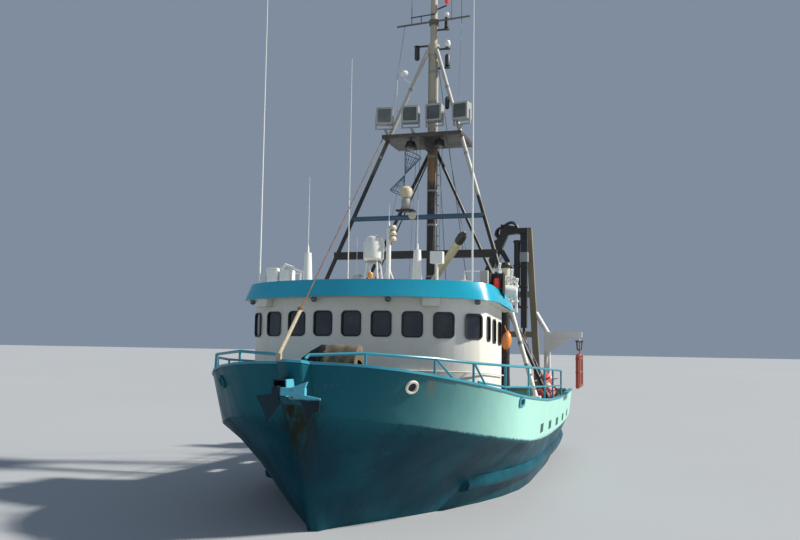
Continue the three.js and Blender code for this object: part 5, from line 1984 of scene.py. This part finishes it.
@dataclass
class Floats:
    """The round net floats that lie along the rail, and the one on the house's after corner."""

    def build(self) -> None:
        """Makes the floats."""
        red, pink, orange = Form(), Form(), Form()
        arch = [(0.38, 0.92), (0.71, 0.71), (0.92, 0.38)]
        below = [(0.0, -1.0), *((size, -high) for size, high in arch)]
        profile = [*below, (1.0, 0.0), *reversed(arch), (0.2, 1.0), (0.12, 1.12), (0.0, 1.14)]
        for form, spot, radius in (
            (red, (3.42, 2.5, 2.28), 0.22),
            (pink, (3.44, 3.0, 2.5), 0.21),
            (red, (3.40, 3.5, 2.3), 0.23),
            (pink, (3.42, 4.05, 2.32), 0.22),
            (red, (3.42, 4.55, 2.3), 0.22),
            (red, (3.38, 3.3, 2.72), 0.2),
            (pink, (3.36, 4.3, 2.7), 0.19),
        ):
            form.lathe([(size * radius, high * radius) for size, high in profile], spot, (0.2, 0.1, 1))
        slim = [(size * 0.13, high * 0.24) for size, high in profile]
        orange.lathe(slim, (3.06, -2.0, 3.95), (0.1, 0.2, 1))
        orange.tube([(3.06, -2.0, 4.2), (2.95, -1.65, 4.35)], 0.012, 6)
        red.piece("red_floats", RED_FLOAT)
        pink.piece("pink_floats", PINK_FLOAT)
        orange.piece("orange_float", ORANGE_FLOAT)
        self._basket()

    def _basket(self) -> None:
        """Makes the wire basket that holds the floats against the bulwark."""
        bars = Form()
        for y in (2.25, 3.15, 4.0, 4.85):
            bars.tube([(3.15, y, 1.4), (3.15, y, 2.72), (3.62, y, 2.72)], 0.015, 6)
            bars.tube([(3.15, y, 2.06), (3.66, y, 2.06)], 0.015, 6)
        for x, z in ((3.15, 2.06), (3.15, 2.4), (3.15, 2.72), (3.4, 2.06)):
            bars.tube([(x, 2.25, z), (x, 4.85, z)], 0.015, 6)
        bars.piece("float_rack", GREY)


@dataclass
class DrumLoads:
    """The wire on the trawl winches and the net on its drum."""

    inset: float = 0.06
    turns: int = 30
    steps: int = 18
    wire_reach: float = 0.4
    wire_radius: float = 0.0155
    core: tuple[float, float] = (0.204, 0.392)
    net_core: float = 0.3
    net_reach: float = 0.56
    net_rows: int = 44
    net_float: Pairs = ((0.0, -0.09), (0.06, -0.07), (0.085, 0.0), (0.06, 0.07), (0.0, 0.09))

    def build(self) -> None:
        """Makes the windings."""
        for side, node in ((Side.PORT, "winch_drum_port"), (Side.STARBOARD, "winch_drum_stbd")):
            self._wire(side, node)
        self._net()

    def _wire(self, side: Side, node: str) -> None:
        """Makes the wire that lies on a winch drum, over a plain ring of the turns below.

        Args:
            side: The winch's side.
            node: The drum's CAD node.
        """
        low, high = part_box(node)
        middle = (low + high) / 2
        start, length = low.x + self.inset, high.x - low.x - 2 * self.inset
        path, count = [], self.turns * self.steps
        for n in range(count + 1):
            t = 2 * math.pi * n / self.steps
            y, z = middle.y + self.wire_reach * math.cos(t), middle.z + self.wire_reach * math.sin(t)
            path.append((start + length * n / count, y, z))
        wire = Form()
        wire.tube(path, self.wire_radius, 6)
        inner, outer = self.core
        below = [(inner, 0.0), (outer, 0.0), (outer, length), (inner, length)]
        wire.lathe(below, (start, middle.y, middle.z), (1, 0, 0), 36, closed=True)
        wire.piece(f"trawl_wire_{side.label}", WIRE, node)

    def _net(self) -> None:
        """Makes the net wound on its drum, and its float line."""
        low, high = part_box("net_drum")
        middle = (low + high) / 2
        net, floats = Form(), Form()
        sections = []
        for r in range(self.net_rows + 1):
            x = low.x + self.inset + (high.x - low.x - 2 * self.inset) * r / self.net_rows
            row = []
            for t in turns(48):
                swell = self.net_reach + 0.05 * math.sin(3 * t + 0.9 * r)
                swell += 0.035 * math.sin(5 * t - 0.37 * r) + 0.02 * math.sin(11 * t + r)
                if r in (0, self.net_rows):
                    swell = self.net_core
                row.append((x, middle.y + swell * math.cos(t), middle.z + swell * math.sin(t)))
            sections.append(row)
        net.loft(sections, closed=True)
        net.piece("wound_net", NET, "net_drum", crease=60)
        for k in range(14):
            t = 0.7 * k
            spot = (low.x + 0.3 + 0.18 * k, middle.y + 0.6 * math.cos(t), middle.z + 0.6 * math.sin(t))
            floats.lathe(self.net_float, spot, (1, 0.2, 0), 14)
        floats.piece("net_floats", ORANGE_FLOAT, "net_drum", slot="net_twine")


@dataclass
class RaftTrim:
    """Straps and rim of the life raft's canister."""

    def build(self) -> None:
        """Makes the bands round the canister."""
        low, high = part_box("raft_canister")
        bands, rim = Form(), Form()
        x, z = (low.x + high.x) / 2, high.z - 0.26
        for y in (-2.72, -2.5, -2.3):
            bands.collar(0.262, 0.27, 0.02, (x, y, z), AFT, 32)
        rim.box((x - 0.275, low.y + 0.03, z - 0.02), (x + 0.275, high.y - 0.03, z + 0.02), 0.008)
        bands.piece("raft_straps", SEAL)
        rim.piece("raft_rim", PLASTIC)


@dataclass
class DeckTrim:
    """Dogs and handle on the hatch lid, and the stays of the bulwark."""

    dog: Pairs = ((0.035, 0.0), (0.035, 0.02), (0.015, 0.03), (0.015, 0.06))
    stays: tuple[float, ...] = (-4.4, -1.2, 0.3, 1.9, 3.6, 5.2, 7.1)

    def build(self) -> None:
        """Makes the small deck fittings."""
        low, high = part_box("hatch_lid")
        dogs = Form()
        for x in (-0.45, 0.45):
            for y in (low.y + 0.12, (low.y + high.y) / 2):
                dogs.lathe(self.dog, (x, y, high.z - 0.002), sides=12)
                dogs.tube([(x - 0.08, y, high.z + 0.055), (x + 0.08, y, high.z + 0.055)], 0.012, 8)
        y = low.y + 0.2
        dogs.tube(staple(0.14, [(y, high.z), (y, high.z + 0.06)]), 0.01, 8)
        dogs.piece("hatch_dogs", STEEL, "hatch_lid")
        frames = Form()
        for side in Side:
            for y in self.stays:
                inner = seat_on("bulwark", (side.value * 3.0, y, 1.9 if y > -1 else 2.15))
                top = inner.at(0, 0.25, 0.03)
                frames.tube([inner.at(0, -0.45, 0.03), top], 0.03, 6)
                frames.tube([inner.at(0, -0.45, 0.28), top], 0.03, 6)
        frames.piece("bulwark_stays", TRIM)


def main() -> None:
    """Builds the scene, one sub-assembly after another."""
    logging.basicConfig(level=logging.INFO, format="%(message)s")
    for part in (
        Studio, Carried, Windows, HouseTrim, RoofGear, FloodLights, MastGear, BowFittings, Splay,
        AnchorGear, WindlassTarp, CraneGear, DerrickGear, ExhaustGear, GallowsGear, Floats, DrumLoads,
        RaftTrim, DeckTrim,
    ):
        part().build()


if __name__ == "__main__":
    main()
